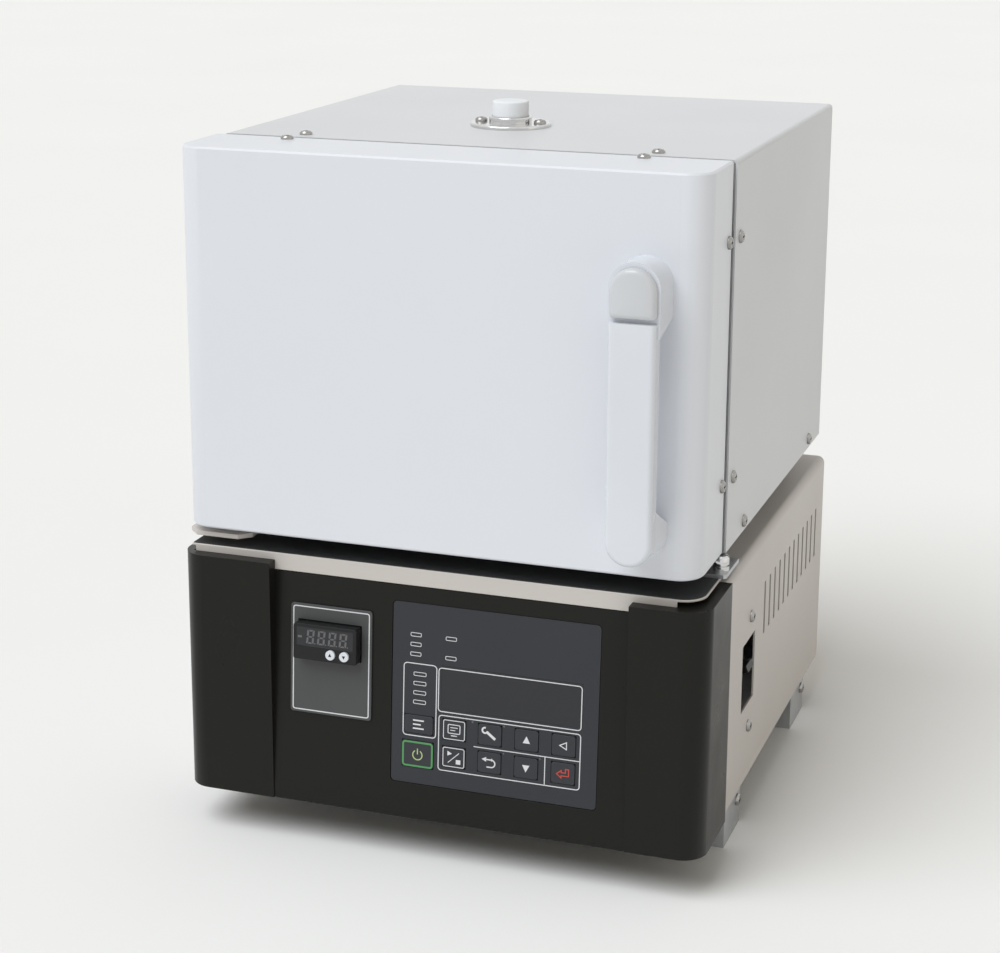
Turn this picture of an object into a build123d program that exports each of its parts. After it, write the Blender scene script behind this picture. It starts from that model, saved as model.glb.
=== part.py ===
from build123d import *
import math
import os

os.makedirs("parts", exist_ok=True)

# Small laboratory box furnace. Millimetres, +Z up, the door faces -Y.
# The origin is the middle of the outline at floor level.

# Sheet and fits
SHEET = 1.2
DOOR_SHEET = 1.5
SHEET_FIT = 0.2
RUN_FIT = 0.4
SHAFT_FIT = 0.08
SCREW_FIT = 0.1
KEY_FIT = 0.35
REST_GAP = 0.35

# Pan-head screws
SCREW_HEAD_D = 8.0
SCREW_HEAD_H = 2.2
SCREW_D = 4.0
SCREW_L = 6.0
CROSS_W = 1.1
CROSS_L = 4.2
CROSS_DEEP = 1.3

# Hood over the chamber
HOOD_W = 330.0
HOOD_D = 292.0
HOOD_H = 240.0
HOOD_Z = 202.0
HOOD_FOLD = 3.0
HOOD_TOP = HOOD_Z + HOOD_H
LIP = 12.0

# Door
DOOR_W = HOOD_W + 2.0
DOOR_X = -2.5
DOOR_T = 58.0
DOOR_GAP = 4.0
DOOR_R = 16.0
HANDLE_REACH = 33.0

# Control cabinet
CAB_W = HOOD_W + 8.0
CAB_D = 301.0
CAB_LEAD = 5.0
CAB_Z = 30.0
CAB_TOP = 184.0
CAB_FOLD = 5.0
INLET_PROUD = 2.5

# Reach in front of and behind the hood's front plane, which centres the outline
REAR_REACH = CAB_D - CAB_LEAD + SHEET + INLET_PROUD + SCREW_HEAD_H
FRONT_REACH = DOOR_GAP + DOOR_T + HANDLE_REACH
HOOD_Y = (FRONT_REACH - REAR_REACH) / 2
HOOD_BACK = HOOD_Y + HOOD_D
DOOR_BACK = HOOD_Y - DOOR_GAP
DOOR_FRONT = DOOR_BACK - DOOR_T
DOOR_L = DOOR_X - DOOR_W / 2
DOOR_RT = DOOR_X + DOOR_W / 2
CAB_Y = HOOD_Y - CAB_LEAD
CAB_BACK = CAB_Y + CAB_D

# Chamber
MID_Z = HOOD_Z + HOOD_H / 2
MUFFLE_W = 120.0
MUFFLE_H = 100.0
MUFFLE_WALL = 8.0
MUFFLE_Y = HOOD_Y + 42.0
MUFFLE_D = 178.0
MUFFLE_OUT_W = MUFFLE_W + 2 * MUFFLE_WALL
MUFFLE_OUT_H = MUFFLE_H + 2 * MUFFLE_WALL
MUFFLE_BACK = MUFFLE_Y + MUFFLE_D + MUFFLE_WALL
COIL_T = 2.5
COIL_TURNS = 11
COIL_ROOM = 1.0
BLOCK_MARGIN = 3.0



def block(x0, x1, y0, y1, z0, z1):
    return Pos((x0 + x1) / 2, (y0 + y1) / 2, (z0 + z1) / 2) * Box(x1 - x0, y1 - y0, z1 - z0)


def facing(direction):
    """Rotation that turns +Z to the named direction."""
    turns = {
        "+z": Rot(0, 0, 0),
        "-z": Rot(180, 0, 0),
        "+x": Rot(0, 90, 0),
        "-x": Rot(0, -90, 0),
        "+y": Rot(-90, 0, 0),
        "-y": Rot(90, 0, 0),
    }
    return turns[direction]


def rod(point, direction, radius, length):
    """Cylinder that starts at the point and runs in the direction."""
    body = Cylinder(radius, length, align=(Align.CENTER, Align.CENTER, Align.MIN))
    return Pos(*point) * facing(direction) * body


def pan_screw(point, direction):
    """Cross-recess pan head whose seat is at the point and whose head faces the direction."""
    top = Cylinder(SCREW_HEAD_D / 2, SCREW_HEAD_H, align=(Align.CENTER, Align.CENTER, Align.MIN))
    top = chamfer(top.edges().group_by(Axis.Z)[-1], SCREW_HEAD_H * 0.45)
    for wide, deep in ((CROSS_L, CROSS_W), (CROSS_W, CROSS_L)):
        top -= Pos(0, 0, SCREW_HEAD_H - CROSS_DEEP / 2) * Box(wide, deep, CROSS_DEEP)
    shank = Cylinder(SCREW_D / 2, SCREW_L, align=(Align.CENTER, Align.CENTER, Align.MAX))
    return Pos(*point) * facing(direction) * (top + shank)


def screw_group(places):
    return Compound([pan_screw(point, direction) for point, direction in places])


def screw_holes(places):
    """Clearance holes along the shanks of a group."""
    tools = []
    for point, direction in places:
        hole = Cylinder(SCREW_D / 2 + SCREW_FIT, 2 * SCREW_L + 2)
        tools.append(Pos(*point) * facing(direction) * hole)
    return tools


def drilled(shape, tools):
    for tool in tools:
        shape -= tool
    return shape


def save(shape, name):
    export_step(shape, f"parts/{name}.step")


# Screw places shared by the sheets they pass through
DOOR_RIM_X = DOOR_W / 2 - 52.0
HOOD_RIM_X = HOOD_W / 2 - 51.0
RIM_BACK = 7.0
SIDE_Z = (HOOD_TOP - 47.0, HOOD_Z + 45.0)
HOOD_SCREW_Y = HOOD_Y + 12.0
BASE_SCREW_Y = (HOOD_Y + 46.0, HOOD_Y + 250.0)
BASE_SCREW_Z = HOOD_Z + 7.0
CAB_SCREW_Y = HOOD_Y + 61.0
CAB_SCREW_Z = (CAB_TOP - 43.0, CAB_Z + 36.0)

door_rim_places = [((DOOR_X + s * DOOR_RIM_X, DOOR_BACK - RIM_BACK, HOOD_TOP), "+z") for s in (-1, 1)]
door_rim_places += [((DOOR_X + s * DOOR_RIM_X, DOOR_BACK - RIM_BACK, HOOD_Z), "-z") for s in (-1, 1)]
door_rim_places += [((DOOR_RT, DOOR_BACK - RIM_BACK, z), "+x") for z in SIDE_Z]
door_rim_places += [((DOOR_L, DOOR_BACK - RIM_BACK, z), "-x") for z in SIDE_Z]
hood_places = [((s * HOOD_RIM_X, HOOD_SCREW_Y, HOOD_TOP), "+z") for s in (-1, 1)]
hood_places += [((HOOD_W / 2, HOOD_SCREW_Y, z), "+x") for z in SIDE_Z]
hood_places += [((-HOOD_W / 2, HOOD_SCREW_Y, z), "-x") for z in SIDE_Z]
hood_places += [((HOOD_W / 2, y, BASE_SCREW_Z), "+x") for y in BASE_SCREW_Y]
hood_places += [((-HOOD_W / 2, y, BASE_SCREW_Z), "-x") for y in BASE_SCREW_Y]
cabinet_places = [((CAB_W / 2, CAB_SCREW_Y, z), "+x") for z in CAB_SCREW_Z]
cabinet_places += [((-CAB_W / 2, CAB_SCREW_Y, z), "-x") for z in CAB_SCREW_Z]

# Exhaust port
PORT_X = -8.0
PORT_Y = HOOD_Y + 98.0
FLANGE_D = 52.0
FLANGE_T = 2.5
FLANGE_PCD = 40.0
COLLAR_D = 27.5
COLLAR_H = 4.0
COLLAR_BORE = 24.4
PLUG_D = 23.5
PLUG_H = 14.0
PLUG_STEM = 12.0
PLUG_STEM_L = 18.0
TUBE_OUT = 20.0
TUBE_BORE = 13.0
TUBE_SINK = 0.4

# Door pivots
PIVOT_X = DOOR_L + 10.5
PIVOT_Y = DOOR_BACK - 16.0
PIN_D = 8.0
LOWER_PLATE_Z = HOOD_Z - 7.5
PLATE_T = 3.0
LOWER_PLATE_L = DOOR_L - 2.0
LOWER_PLATE_R = PIVOT_X + 30.0
LOWER_PLATE_Y = HOOD_Y - 56.0
UPPER_PLATE_Z = HOOD_TOP - 22.0
UPPER_ARM_W = 14.0
NOTCH_ROOM = 6.5
PIN_IN = 12.0
BUSH_D = 14.0
BUSH_L = 11.0
WASHER_T = 1.0

# Handle
HANDLE_X = DOOR_RT - 35.0
BAR_Y = DOOR_FRONT - 31.0
BAR_T = 11.0
BAR_R = 13.8
NECK_R = 16.0
POD_R = 15.3
POD_Y = DOOR_FRONT - 26.0
HANDLE_LOW = HOOD_Z + 15.7
HANDLE_HIGH = HOOD_TOP - 47.3
CAP_LOW = HANDLE_HIGH - 31.4
CAP_HIGH = HANDLE_HIGH - 2.4
CAP_TRAVEL = 2.2
BAR_HIGH = CAP_LOW - CAP_TRAVEL - 0.5
CAP_R = 13.8
STEM_W = 6.0
STEM_H = 6.0
STEM_L = 7.0
STEM_Z = HANDLE_HIGH - 18.7
POD_LOW = CAP_LOW - 11.3
TOE_HIGH = HANDLE_LOW + 32.3
HANDLE_SCREW_Z = (HANDLE_HIGH - 10.7, HANDLE_LOW + 14.3)

# Latch tongue
TONGUE_X = DOOR_RT - 17.0
TONGUE_W = 12.0
TONGUE_T = 3.0
TONGUE_Z = STEM_Z
TONGUE_OUT = 15.0
TONGUE_IN = 26.0

# Door plug
DOOR_PLUG_W = 112.0
DOOR_PLUG_H = 92.0
DOOR_PLUG_OUT = 14.0
DOOR_PLUG_TAPER = 14.0
THROAT_W = DOOR_PLUG_W + 10.0
THROAT_H = DOOR_PLUG_H + 10.0
FACE_W = 190.0
FACE_H = 170.0
GASKET_OUT_W = 226.0
GASKET_OUT_H = 204.0
GASKET_W = 9.0
GASKET_T = DOOR_GAP - REST_GAP


def arch(half, low, high, up=True):
    """Outline in XZ with one rounded end, centred on x = 0."""
    if up:
        centre = high - half
        mid = (0, high)
        flat = low
    else:
        centre = low + half
        mid = (0, low)
        flat = high
    with BuildLine() as line:
        Line((-half, flat), (half, flat))
        Line((half, flat), (half, centre))
        ThreePointArc((half, centre), mid, (-half, centre))
        Line((-half, centre), (-half, flat))
    return make_face(line.line)


def upright(shape, y, x=0.0):
    """Places a sketch drawn in XZ at the given y, normal to -Y."""
    return Plane(origin=(x, y, 0), x_dir=(1, 0, 0), z_dir=(0, -1, 0)) * shape


# Door
def make_door_shell():
    outer = Pos(DOOR_X, 0, 0) * Rectangle(DOOR_W, DOOR_T)
    outer = Pos(0, (DOOR_FRONT + DOOR_BACK) / 2, 0) * outer
    front = outer.vertices().sort_by(Axis.Y)[:2]
    outer = fillet(front, DOOR_R)
    solid = Pos(0, 0, HOOD_Z) * extrude(outer, HOOD_H)
    inner = Rectangle(DOOR_W - 2 * DOOR_SHEET, DOOR_T - DOOR_SHEET)
    inner = Pos(DOOR_X, (DOOR_FRONT + DOOR_SHEET + DOOR_BACK) / 2, 0) * inner
    inner = fillet(inner.vertices().sort_by(Axis.Y)[:2], DOOR_R - DOOR_SHEET)
    room = Pos(0, 0, HOOD_Z + DOOR_SHEET) * extrude(inner, HOOD_H - 2 * DOOR_SHEET)
    solid = chamfer(solid.edges().filter_by(Axis.X).sort_by(Axis.Y)[:2], 1.2)
    shell = solid - room
    notch_low = UPPER_PLATE_Z - 2.5
    notch_high = UPPER_PLATE_Z + PLATE_T + 2.5
    notch_y = PIVOT_Y - UPPER_ARM_W / 2 - NOTCH_ROOM
    shell -= block(DOOR_L - 1, DOOR_L + 5, notch_y, DOOR_BACK + 1, notch_low, notch_high)
    shell -= rod((PIVOT_X, PIVOT_Y, HOOD_Z - 1), "+z", BUSH_D / 2 + SHEET_FIT, 4)
    shell = drilled(shell, screw_holes(door_rim_places))
    return drilled(shell, handle_holes())


def handle_screw_places():
    return [((HANDLE_X, DOOR_FRONT + DOOR_SHEET, z), "+y") for z in HANDLE_SCREW_Z]


def handle_holes():
    return screw_holes(handle_screw_places())


def make_inner_plate():
    half = DOOR_W / 2 - DOOR_SHEET - SHEET_FIT
    low = HOOD_Z + DOOR_SHEET + SHEET_FIT
    high = HOOD_TOP - DOOR_SHEET - SHEET_FIT
    deep = 16.0
    tray = block(DOOR_X - half, DOOR_X + half, DOOR_BACK - deep, DOOR_BACK, low, high)
    tray -= block(
        DOOR_X - half + DOOR_SHEET, DOOR_X + half - DOOR_SHEET,
        DOOR_BACK - deep - 1, DOOR_BACK - DOOR_SHEET,
        low + DOOR_SHEET, high - DOOR_SHEET,
    )
    notch_low = UPPER_PLATE_Z - 2.5
    notch_high = UPPER_PLATE_Z + PLATE_T + 2.5
    tray -= block(
        DOOR_X - half - 1, PIVOT_X + UPPER_ARM_W / 2 + 8,
        DOOR_BACK - deep - 1, DOOR_BACK + 1, notch_low, notch_high,
    )
    tray -= rod((PIVOT_X, PIVOT_Y, low - 1), "+z", BUSH_D / 2 + SHEET_FIT, 4)
    tray -= rod((PIVOT_X, PIVOT_Y, high - 3), "+z", BUSH_D / 2 + SHEET_FIT, 4)
    tray -= block(
        TONGUE_X - TONGUE_W / 2 - RUN_FIT, TONGUE_X + TONGUE_W / 2 + RUN_FIT,
        DOOR_BACK - 4, DOOR_BACK + 1,
        TONGUE_Z - TONGUE_T / 2 - CAP_TRAVEL - RUN_FIT, TONGUE_Z + TONGUE_T / 2 + RUN_FIT,
    )
    return drilled(tray, screw_holes(door_rim_places))


def make_door_insulation():
    low = HOOD_Z + 18.0
    high = UPPER_PLATE_Z - 8.0
    left = PIVOT_X + 22.0
    right = DOOR_RT - SCREW_L - 0.5
    front = DOOR_FRONT + DOOR_SHEET
    back = DOOR_BACK - DOOR_SHEET
    board = block(left, right, front, back, low, high)
    corner = board.edges().filter_by(Axis.Z).sort_by(Axis.Y)[:2].sort_by(Axis.X)[-1:]
    board = fillet(corner, DOOR_R - 3.0)
    board -= block(
        TONGUE_X - TONGUE_W, right + 1, DOOR_BACK - TONGUE_IN - 4, back + 1,
        TONGUE_Z - 12, TONGUE_Z + 12,
    )
    for point, direction in handle_screw_places():
        board -= rod((point[0], point[1] - 0.5, point[2]), direction, 6.5, 6)
    return board


def make_door_plug():
    far = DOOR_BACK + DOOR_GAP + DOOR_PLUG_OUT
    near = Plane(origin=(0, DOOR_BACK, MID_Z), x_dir=(1, 0, 0), z_dir=(0, -1, 0)) * Rectangle(
        DOOR_PLUG_W + DOOR_PLUG_TAPER / 2, DOOR_PLUG_H + DOOR_PLUG_TAPER / 2
    )
    end = Plane(origin=(0, far, MID_Z), x_dir=(1, 0, 0), z_dir=(0, -1, 0)) * Rectangle(
        DOOR_PLUG_W - DOOR_PLUG_TAPER / 2, DOOR_PLUG_H - DOOR_PLUG_TAPER / 2
    )
    return loft([near, end])


def make_gasket():
    ring = Rectangle(GASKET_OUT_W, GASKET_OUT_H) - Rectangle(
        GASKET_OUT_W - 2 * GASKET_W, GASKET_OUT_H - 2 * GASKET_W
    )
    ring = extrude(ring, GASKET_T)
    place = Plane(origin=(0, DOOR_BACK, MID_Z), x_dir=(-1, 0, 0), z_dir=(0, 1, 0))
    ring = place * ring
    return chamfer(ring.faces().sort_by(Axis.Y)[-1].edges(), 1.2)


def make_handle():
    bar = upright(arch(BAR_R, HANDLE_LOW, BAR_HIGH, up=False), BAR_Y + BAR_T, HANDLE_X)
    bar = extrude(bar, BAR_T)
    bar = fillet(bar.faces().sort_by(Axis.Y)[0].edges().sort_by(Axis.Z)[:-1], 3.0)
    pod_wall = upright(arch(NECK_R, 360.0, HANDLE_HIGH), DOOR_FRONT, HANDLE_X)
    pod_face = upright(arch(POD_R, POD_LOW, HANDLE_HIGH + 0.4), POD_Y, HANDLE_X)
    pod = loft([pod_wall, pod_face])
    low_wall = upright(arch(NECK_R, 215.3, 237.0, up=False), DOOR_FRONT, HANDLE_X)
    low_face = upright(arch(BAR_R - 0.3, HANDLE_LOW + 0.3, TOE_HIGH, up=False), BAR_Y + BAR_T - 1, HANDLE_X)
    neck = loft([low_wall, low_face])
    handle = bar + pod + neck
    tall = STEM_H + CAP_TRAVEL + 2 * RUN_FIT
    handle -= block(
        HANDLE_X - STEM_W / 2 - RUN_FIT, HANDLE_X + STEM_W / 2 + RUN_FIT,
        POD_Y - 1, POD_Y + STEM_L + RUN_FIT,
        STEM_Z + STEM_H / 2 + RUN_FIT - tall, STEM_Z + STEM_H / 2 + RUN_FIT,
    )
    return drilled(handle, handle_holes())


def make_thumb_button():
    seat = POD_Y - REST_GAP
    face = upright(arch(CAP_R, CAP_LOW, CAP_HIGH), seat, HANDLE_X)
    cap = extrude(face, HANDLE_REACH - (DOOR_FRONT - seat))
    low = cap.edges().filter_by(Axis.Y).sort_by(Axis.Z)[:2]
    cap = fillet(low, 2.5)
    cap = fillet(cap.faces().sort_by(Axis.Y)[0].edges(), 3.4)
    stem = block(
        HANDLE_X - STEM_W / 2, HANDLE_X + STEM_W / 2,
        seat - 1, POD_Y + STEM_L, STEM_Z - STEM_H / 2, STEM_Z + STEM_H / 2,
    )
    return cap + stem


def make_tongue():
    tongue = block(
        TONGUE_X - TONGUE_W / 2, TONGUE_X + TONGUE_W / 2,
        DOOR_BACK - TONGUE_IN, DOOR_BACK + TONGUE_OUT,
        TONGUE_Z - TONGUE_T / 2, TONGUE_Z + TONGUE_T / 2,
    )
    return chamfer(tongue.faces().sort_by(Axis.Y)[-1].edges(), 1.0)


def make_door_bushes():
    seat_low = HOOD_Z - WASHER_T
    low = rod((PIVOT_X, PIVOT_Y, HOOD_Z), "+z", BUSH_D / 2, BUSH_L)
    low += rod((PIVOT_X, PIVOT_Y, seat_low), "+z", BUSH_D / 2 + 2, WASHER_T)
    low -= rod((PIVOT_X, PIVOT_Y, seat_low - 1), "+z", PIN_D / 2 + SHAFT_FIT, BUSH_L + 4)
    top_z = UPPER_PLATE_Z + PLATE_T + REST_GAP
    ceiling = HOOD_TOP - DOOR_SHEET
    high = rod((PIVOT_X, PIVOT_Y, top_z), "+z", BUSH_D / 2, ceiling - top_z)
    high -= rod((PIVOT_X, PIVOT_Y, top_z - 1), "+z", PIN_D / 2 + SHAFT_FIT, PIN_IN + 1 + RUN_FIT)
    return Compound([low, high])


# Furnace body
def u_cover(width, top, low, y0, y1, fold, lip_back=True):
    outer = Rectangle(width, top - low)
    outer = fillet(outer.vertices().sort_by(Axis.Y)[-2:], fold)
    inner = Pos(0, -SHEET, 0) * Rectangle(width - 2 * SHEET, top - low)
    inner = fillet(inner.vertices().sort_by(Axis.Y)[-2:], fold - SHEET)
    frame = outer - inner
    turn = Plane(origin=(0, y1, (top + low) / 2), x_dir=(1, 0, 0), z_dir=(0, -1, 0))
    cover = extrude(turn * frame, y1 - y0)
    if lip_back:
        lip = outer - Pos(0, -LIP, 0) * Rectangle(width - 2 * LIP, top - low)
        cover += extrude(turn * lip, SHEET)
    return cover


def back_places(half, low, high, y):
    points = [(s * (half - 5.0), z) for s in (-1, 1) for z in (low + 12.0, (low + high) / 2, high - 5.0)]
    points.append((0.0, high - 5.0))
    return [((x, y, z), "+y") for x, z in points]


HOOD_PANEL_HALF = HOOD_W / 2 - 2.0
HOOD_PANEL_LOW = HOOD_Z + 1.0
HOOD_PANEL_HIGH = HOOD_TOP - 3.0
hood_back_places = back_places(HOOD_PANEL_HALF, HOOD_PANEL_LOW, HOOD_PANEL_HIGH, HOOD_BACK + SHEET)
CAB_PANEL_HALF = CAB_W / 2 - 2.0
CAB_PANEL_LOW = CAB_Z + 1.0
CAB_PANEL_HIGH = CAB_TOP - 5.0
cab_back_places = back_places(CAB_PANEL_HALF, CAB_PANEL_LOW, CAB_PANEL_HIGH, CAB_BACK + SHEET)


def flange_places():
    return [((PORT_X + s * FLANGE_PCD / 2, PORT_Y, HOOD_TOP + FLANGE_T), "+z") for s in (-1, 1)]


def make_hood():
    hood = u_cover(HOOD_W, HOOD_TOP, HOOD_Z, HOOD_Y, HOOD_BACK, HOOD_FOLD)
    hood -= rod((PORT_X, PORT_Y, HOOD_TOP - 3), "+z", TUBE_OUT / 2 + 1.0, 5)
    hood = drilled(hood, screw_holes(hood_places))
    hood = drilled(hood, screw_holes(flange_places()))
    return drilled(hood, screw_holes(hood_back_places))


def vent_rows(centre_x, y, rows, count, pitch, wide, tall):
    tools = []
    for z in rows:
        for i in range(count):
            x = centre_x + (i - (count - 1) / 2) * pitch
            tools.append(block(x - wide / 2, x + wide / 2, y - 3, y + 3, z - tall / 2, z + tall / 2))
    return tools


def make_hood_back():
    panel = block(-HOOD_PANEL_HALF, HOOD_PANEL_HALF, HOOD_BACK, HOOD_BACK + SHEET, HOOD_PANEL_LOW, HOOD_PANEL_HIGH)
    panel = fillet(panel.edges().filter_by(Axis.Y), 3.0)
    panel = drilled(panel, vent_rows(0, HOOD_BACK, (HOOD_Z + 24.0, HOOD_TOP - 30.0), 9, 16.0, 4.5, 30.0))
    return drilled(panel, screw_holes(hood_back_places))


def make_front_frame():
    half = HOOD_W / 2 - SHEET - SHEET_FIT
    high = HOOD_TOP - SHEET - SHEET_FIT
    tray = block(-half, half, HOOD_Y, HOOD_Y + 18, HOOD_Z, high)
    tray = fillet(tray.edges().filter_by(Axis.Y).sort_by(Axis.Z)[-2:], HOOD_FOLD - SHEET + SHEET_FIT)
    tray -= block(
        -half + SHEET, half - SHEET, HOOD_Y + SHEET, HOOD_Y + 19, HOOD_Z + SHEET, high - SHEET
    )
    tray -= block(-FACE_W / 2, FACE_W / 2, HOOD_Y - 1, HOOD_Y + 2, MID_Z - FACE_H / 2, MID_Z + FACE_H / 2)
    tray -= block(
        TONGUE_X - TONGUE_W / 2 - 3, TONGUE_X + TONGUE_W / 2 + 3, HOOD_Y - 1, HOOD_Y + 2,
        TONGUE_Z - TONGUE_T / 2 - CAP_TRAVEL - 2, TONGUE_Z + TONGUE_T / 2 + 2,
    )
    return drilled(tray, screw_holes(hood_places))


def make_strike():
    low = TONGUE_Z + TONGUE_T / 2 + RUN_FIT
    wide = TONGUE_W / 2 + 4
    plate = block(TONGUE_X - wide, TONGUE_X + wide, HOOD_Y + SHEET, HOOD_Y + SHEET + 2, low, low + 14)
    leaf = block(TONGUE_X - wide, TONGUE_X + wide, HOOD_Y + SHEET, HOOD_Y + 14, low, low + 2)
    roll = rod((TONGUE_X - wide, HOOD_Y + 14, low + 2), "+x", 2.0, 2 * wide)
    return plate + leaf + roll


def make_base():
    half = HOOD_W / 2 - SHEET - SHEET_FIT
    front = HOOD_Y + 18 + SHEET_FIT
    back = HOOD_BACK - SHEET - SHEET_FIT
    tray = block(-half, half, front, back, HOOD_Z, HOOD_Z + 14)
    tray -= block(-half + SHEET, half - SHEET, front - 1, back - SHEET, HOOD_Z + SHEET, HOOD_Z + 15)
    return drilled(tray, screw_holes(hood_places + hood_back_places))


BLOCK_HALF = HOOD_W / 2 - SHEET * 2 - SHEET_FIT - BLOCK_MARGIN - 4
BLOCK_LOW = HOOD_Z + SHEET
BLOCK_HIGH = HOOD_TOP - SHEET - SCREW_L - 2
FRONT_BLOCK_BACK = MUFFLE_Y
BLOCK_BACK = HOOD_BACK - 22.0


def make_front_block():
    ring = block(-BLOCK_HALF, BLOCK_HALF, HOOD_Y + 18.5, FRONT_BLOCK_BACK, BLOCK_LOW, BLOCK_HIGH)
    nose = block(
        -FACE_W / 2 + 1, FACE_W / 2 - 1, HOOD_Y, HOOD_Y + 19,
        MID_Z - FACE_H / 2 + 1, MID_Z + FACE_H / 2 - 1,
    )
    ring += nose
    return ring - block(
        -THROAT_W / 2, THROAT_W / 2, HOOD_Y - 1, FRONT_BLOCK_BACK + 1,
        MID_Z - THROAT_H / 2, MID_Z + THROAT_H / 2,
    )


def muffle_room():
    room = MUFFLE_OUT_W / 2 + COIL_T + COIL_ROOM
    tall = MUFFLE_OUT_H / 2 + COIL_T + COIL_ROOM
    return block(-room, room, MUFFLE_Y - 1, MUFFLE_BACK + COIL_ROOM, MID_Z - tall, MID_Z + tall)


def make_body_block():
    part = block(-BLOCK_HALF, BLOCK_HALF, FRONT_BLOCK_BACK, BLOCK_BACK, BLOCK_LOW, BLOCK_HIGH)
    part -= muffle_room()
    top = MID_Z - MUFFLE_OUT_H / 2
    low = top - COIL_T - COIL_ROOM - 1
    for y in (MUFFLE_Y + 1.0, MUFFLE_BACK - 7.0):
        part += block(-MUFFLE_W / 2, MUFFLE_W / 2, y, y + 6.0, low, top)
    part -= rod((PORT_X, PORT_Y, MID_Z), "+z", TUBE_OUT / 2 + SHEET_FIT, HOOD_H / 2)
    return part - probe_hole()


PROBE_Z = MID_Z + 22.0
PROBE_D = 6.0
PROBE_IN = 30.0


def probe_hole():
    start = MUFFLE_BACK - MUFFLE_WALL - 1
    return rod((0, start, PROBE_Z), "+y", PROBE_D / 2 + SHEET_FIT, HOOD_BACK - start)


def make_thermocouple():
    tip = MUFFLE_BACK - MUFFLE_WALL - PROBE_IN
    body = rod((0, tip, PROBE_Z), "+y", PROBE_D / 2, BLOCK_BACK + 1 - tip)
    head = block(-13, 13, BLOCK_BACK, BLOCK_BACK + 12, PROBE_Z - 9, PROBE_Z + 9)
    head = fillet(head.edges().filter_by(Axis.Y), 3.0)
    for s in (-1, 1):
        head += rod((s * 7, BLOCK_BACK + 12, PROBE_Z), "+y", 2.2, 3)
    return body + head


def make_muffle():
    tube = block(
        -MUFFLE_OUT_W / 2, MUFFLE_OUT_W / 2, MUFFLE_Y, MUFFLE_BACK,
        MID_Z - MUFFLE_OUT_H / 2, MID_Z + MUFFLE_OUT_H / 2,
    )
    tube = fillet(tube.edges().filter_by(Axis.Y), 6.0)
    hollow = block(
        -MUFFLE_W / 2, MUFFLE_W / 2, MUFFLE_Y - 1, MUFFLE_Y + MUFFLE_D,
        MID_Z - MUFFLE_H / 2, MID_Z + MUFFLE_H / 2,
    )
    tube -= fillet(hollow.edges().filter_by(Axis.Y), 5.0)
    tube -= rod((PORT_X, PORT_Y, MID_Z), "+z", TUBE_BORE / 2, MUFFLE_H)
    tube -= rod((PORT_X, PORT_Y, tube_foot()), "+z", TUBE_OUT / 2 + SHEET_FIT, MUFFLE_H)
    return tube - probe_hole()


def tube_foot():
    return MID_Z + MUFFLE_OUT_H / 2 - MUFFLE_WALL / 2


def make_coils():
    """One ribbon that runs round the muffle and steps to the next turn underneath."""
    half = MUFFLE_OUT_W / 2
    tall = MUFFLE_OUT_H / 2
    first = MUFFLE_Y + 14.0
    pitch = (MUFFLE_D - 26.0) / (COIL_TURNS - 1)
    gap = 8.0
    ribbon = Part()
    for i in range(COIL_TURNS):
        y0 = first + i * pitch - COIL_T / 2
        y1 = y0 + COIL_T
        if abs((y0 + y1) / 2 - PORT_Y) < TUBE_OUT / 2 + 3:
            top = MID_Z + tall
            reach = TUBE_OUT / 2 + 2
            y_near = y0
            ribbon += block(-half - COIL_T, PORT_X - reach, y_near, y1, top, top + COIL_T)
            ribbon += block(PORT_X + reach, half + COIL_T, y_near, y1, top, top + COIL_T)
            skip = PORT_Y - TUBE_OUT / 2 - 4.5 if (y0 + y1) / 2 < PORT_Y else PORT_Y + TUBE_OUT / 2 + 2
            lo = min(skip, y0)
            hi = max(skip + COIL_T, y1)
            ribbon += block(PORT_X - reach - COIL_T, PORT_X - reach, lo, hi, top, top + COIL_T)
            ribbon += block(PORT_X + reach, PORT_X + reach + COIL_T, lo, hi, top, top + COIL_T)
            ribbon += block(
                PORT_X - reach - COIL_T, PORT_X + reach + COIL_T, skip, skip + COIL_T, top, top + COIL_T
            )
        else:
            ribbon += block(-half - COIL_T, half + COIL_T, y0, y1, MID_Z + tall, MID_Z + tall + COIL_T)
        for s in (-1, 1):
            inner = s * half
            outer = s * (half + COIL_T)
            ribbon += block(
                min(inner, outer), max(inner, outer), y0, y1,
                MID_Z - tall - COIL_T, MID_Z + tall + COIL_T,
            )
        ribbon += block(-half - COIL_T, -gap / 2, y0, y1, MID_Z - tall - COIL_T, MID_Z - tall)
        ribbon += block(gap / 2, half + COIL_T, y0, y1, MID_Z - tall - COIL_T, MID_Z - tall)
        if i < COIL_TURNS - 1:
            mid = (y0 + y1 + pitch) / 2
            low = MID_Z - tall - COIL_T
            ribbon += block(gap / 2, gap / 2 + COIL_T, y0, mid + COIL_T / 2, low, low + COIL_T)
            ribbon += block(
                -gap / 2 - COIL_T, gap / 2 + COIL_T, mid - COIL_T / 2, mid + COIL_T / 2, low, low + COIL_T
            )
            ribbon += block(-gap / 2 - COIL_T, -gap / 2, mid - COIL_T / 2, y1 + pitch, low, low + COIL_T)
    return ribbon


def make_exhaust_tube():
    foot = tube_foot()
    tall = HOOD_TOP + TUBE_SINK - foot
    tube = rod((PORT_X, PORT_Y, foot), "+z", TUBE_OUT / 2, tall)
    return tube - rod((PORT_X, PORT_Y, foot - 1), "+z", TUBE_BORE / 2, tall + 2)


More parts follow.
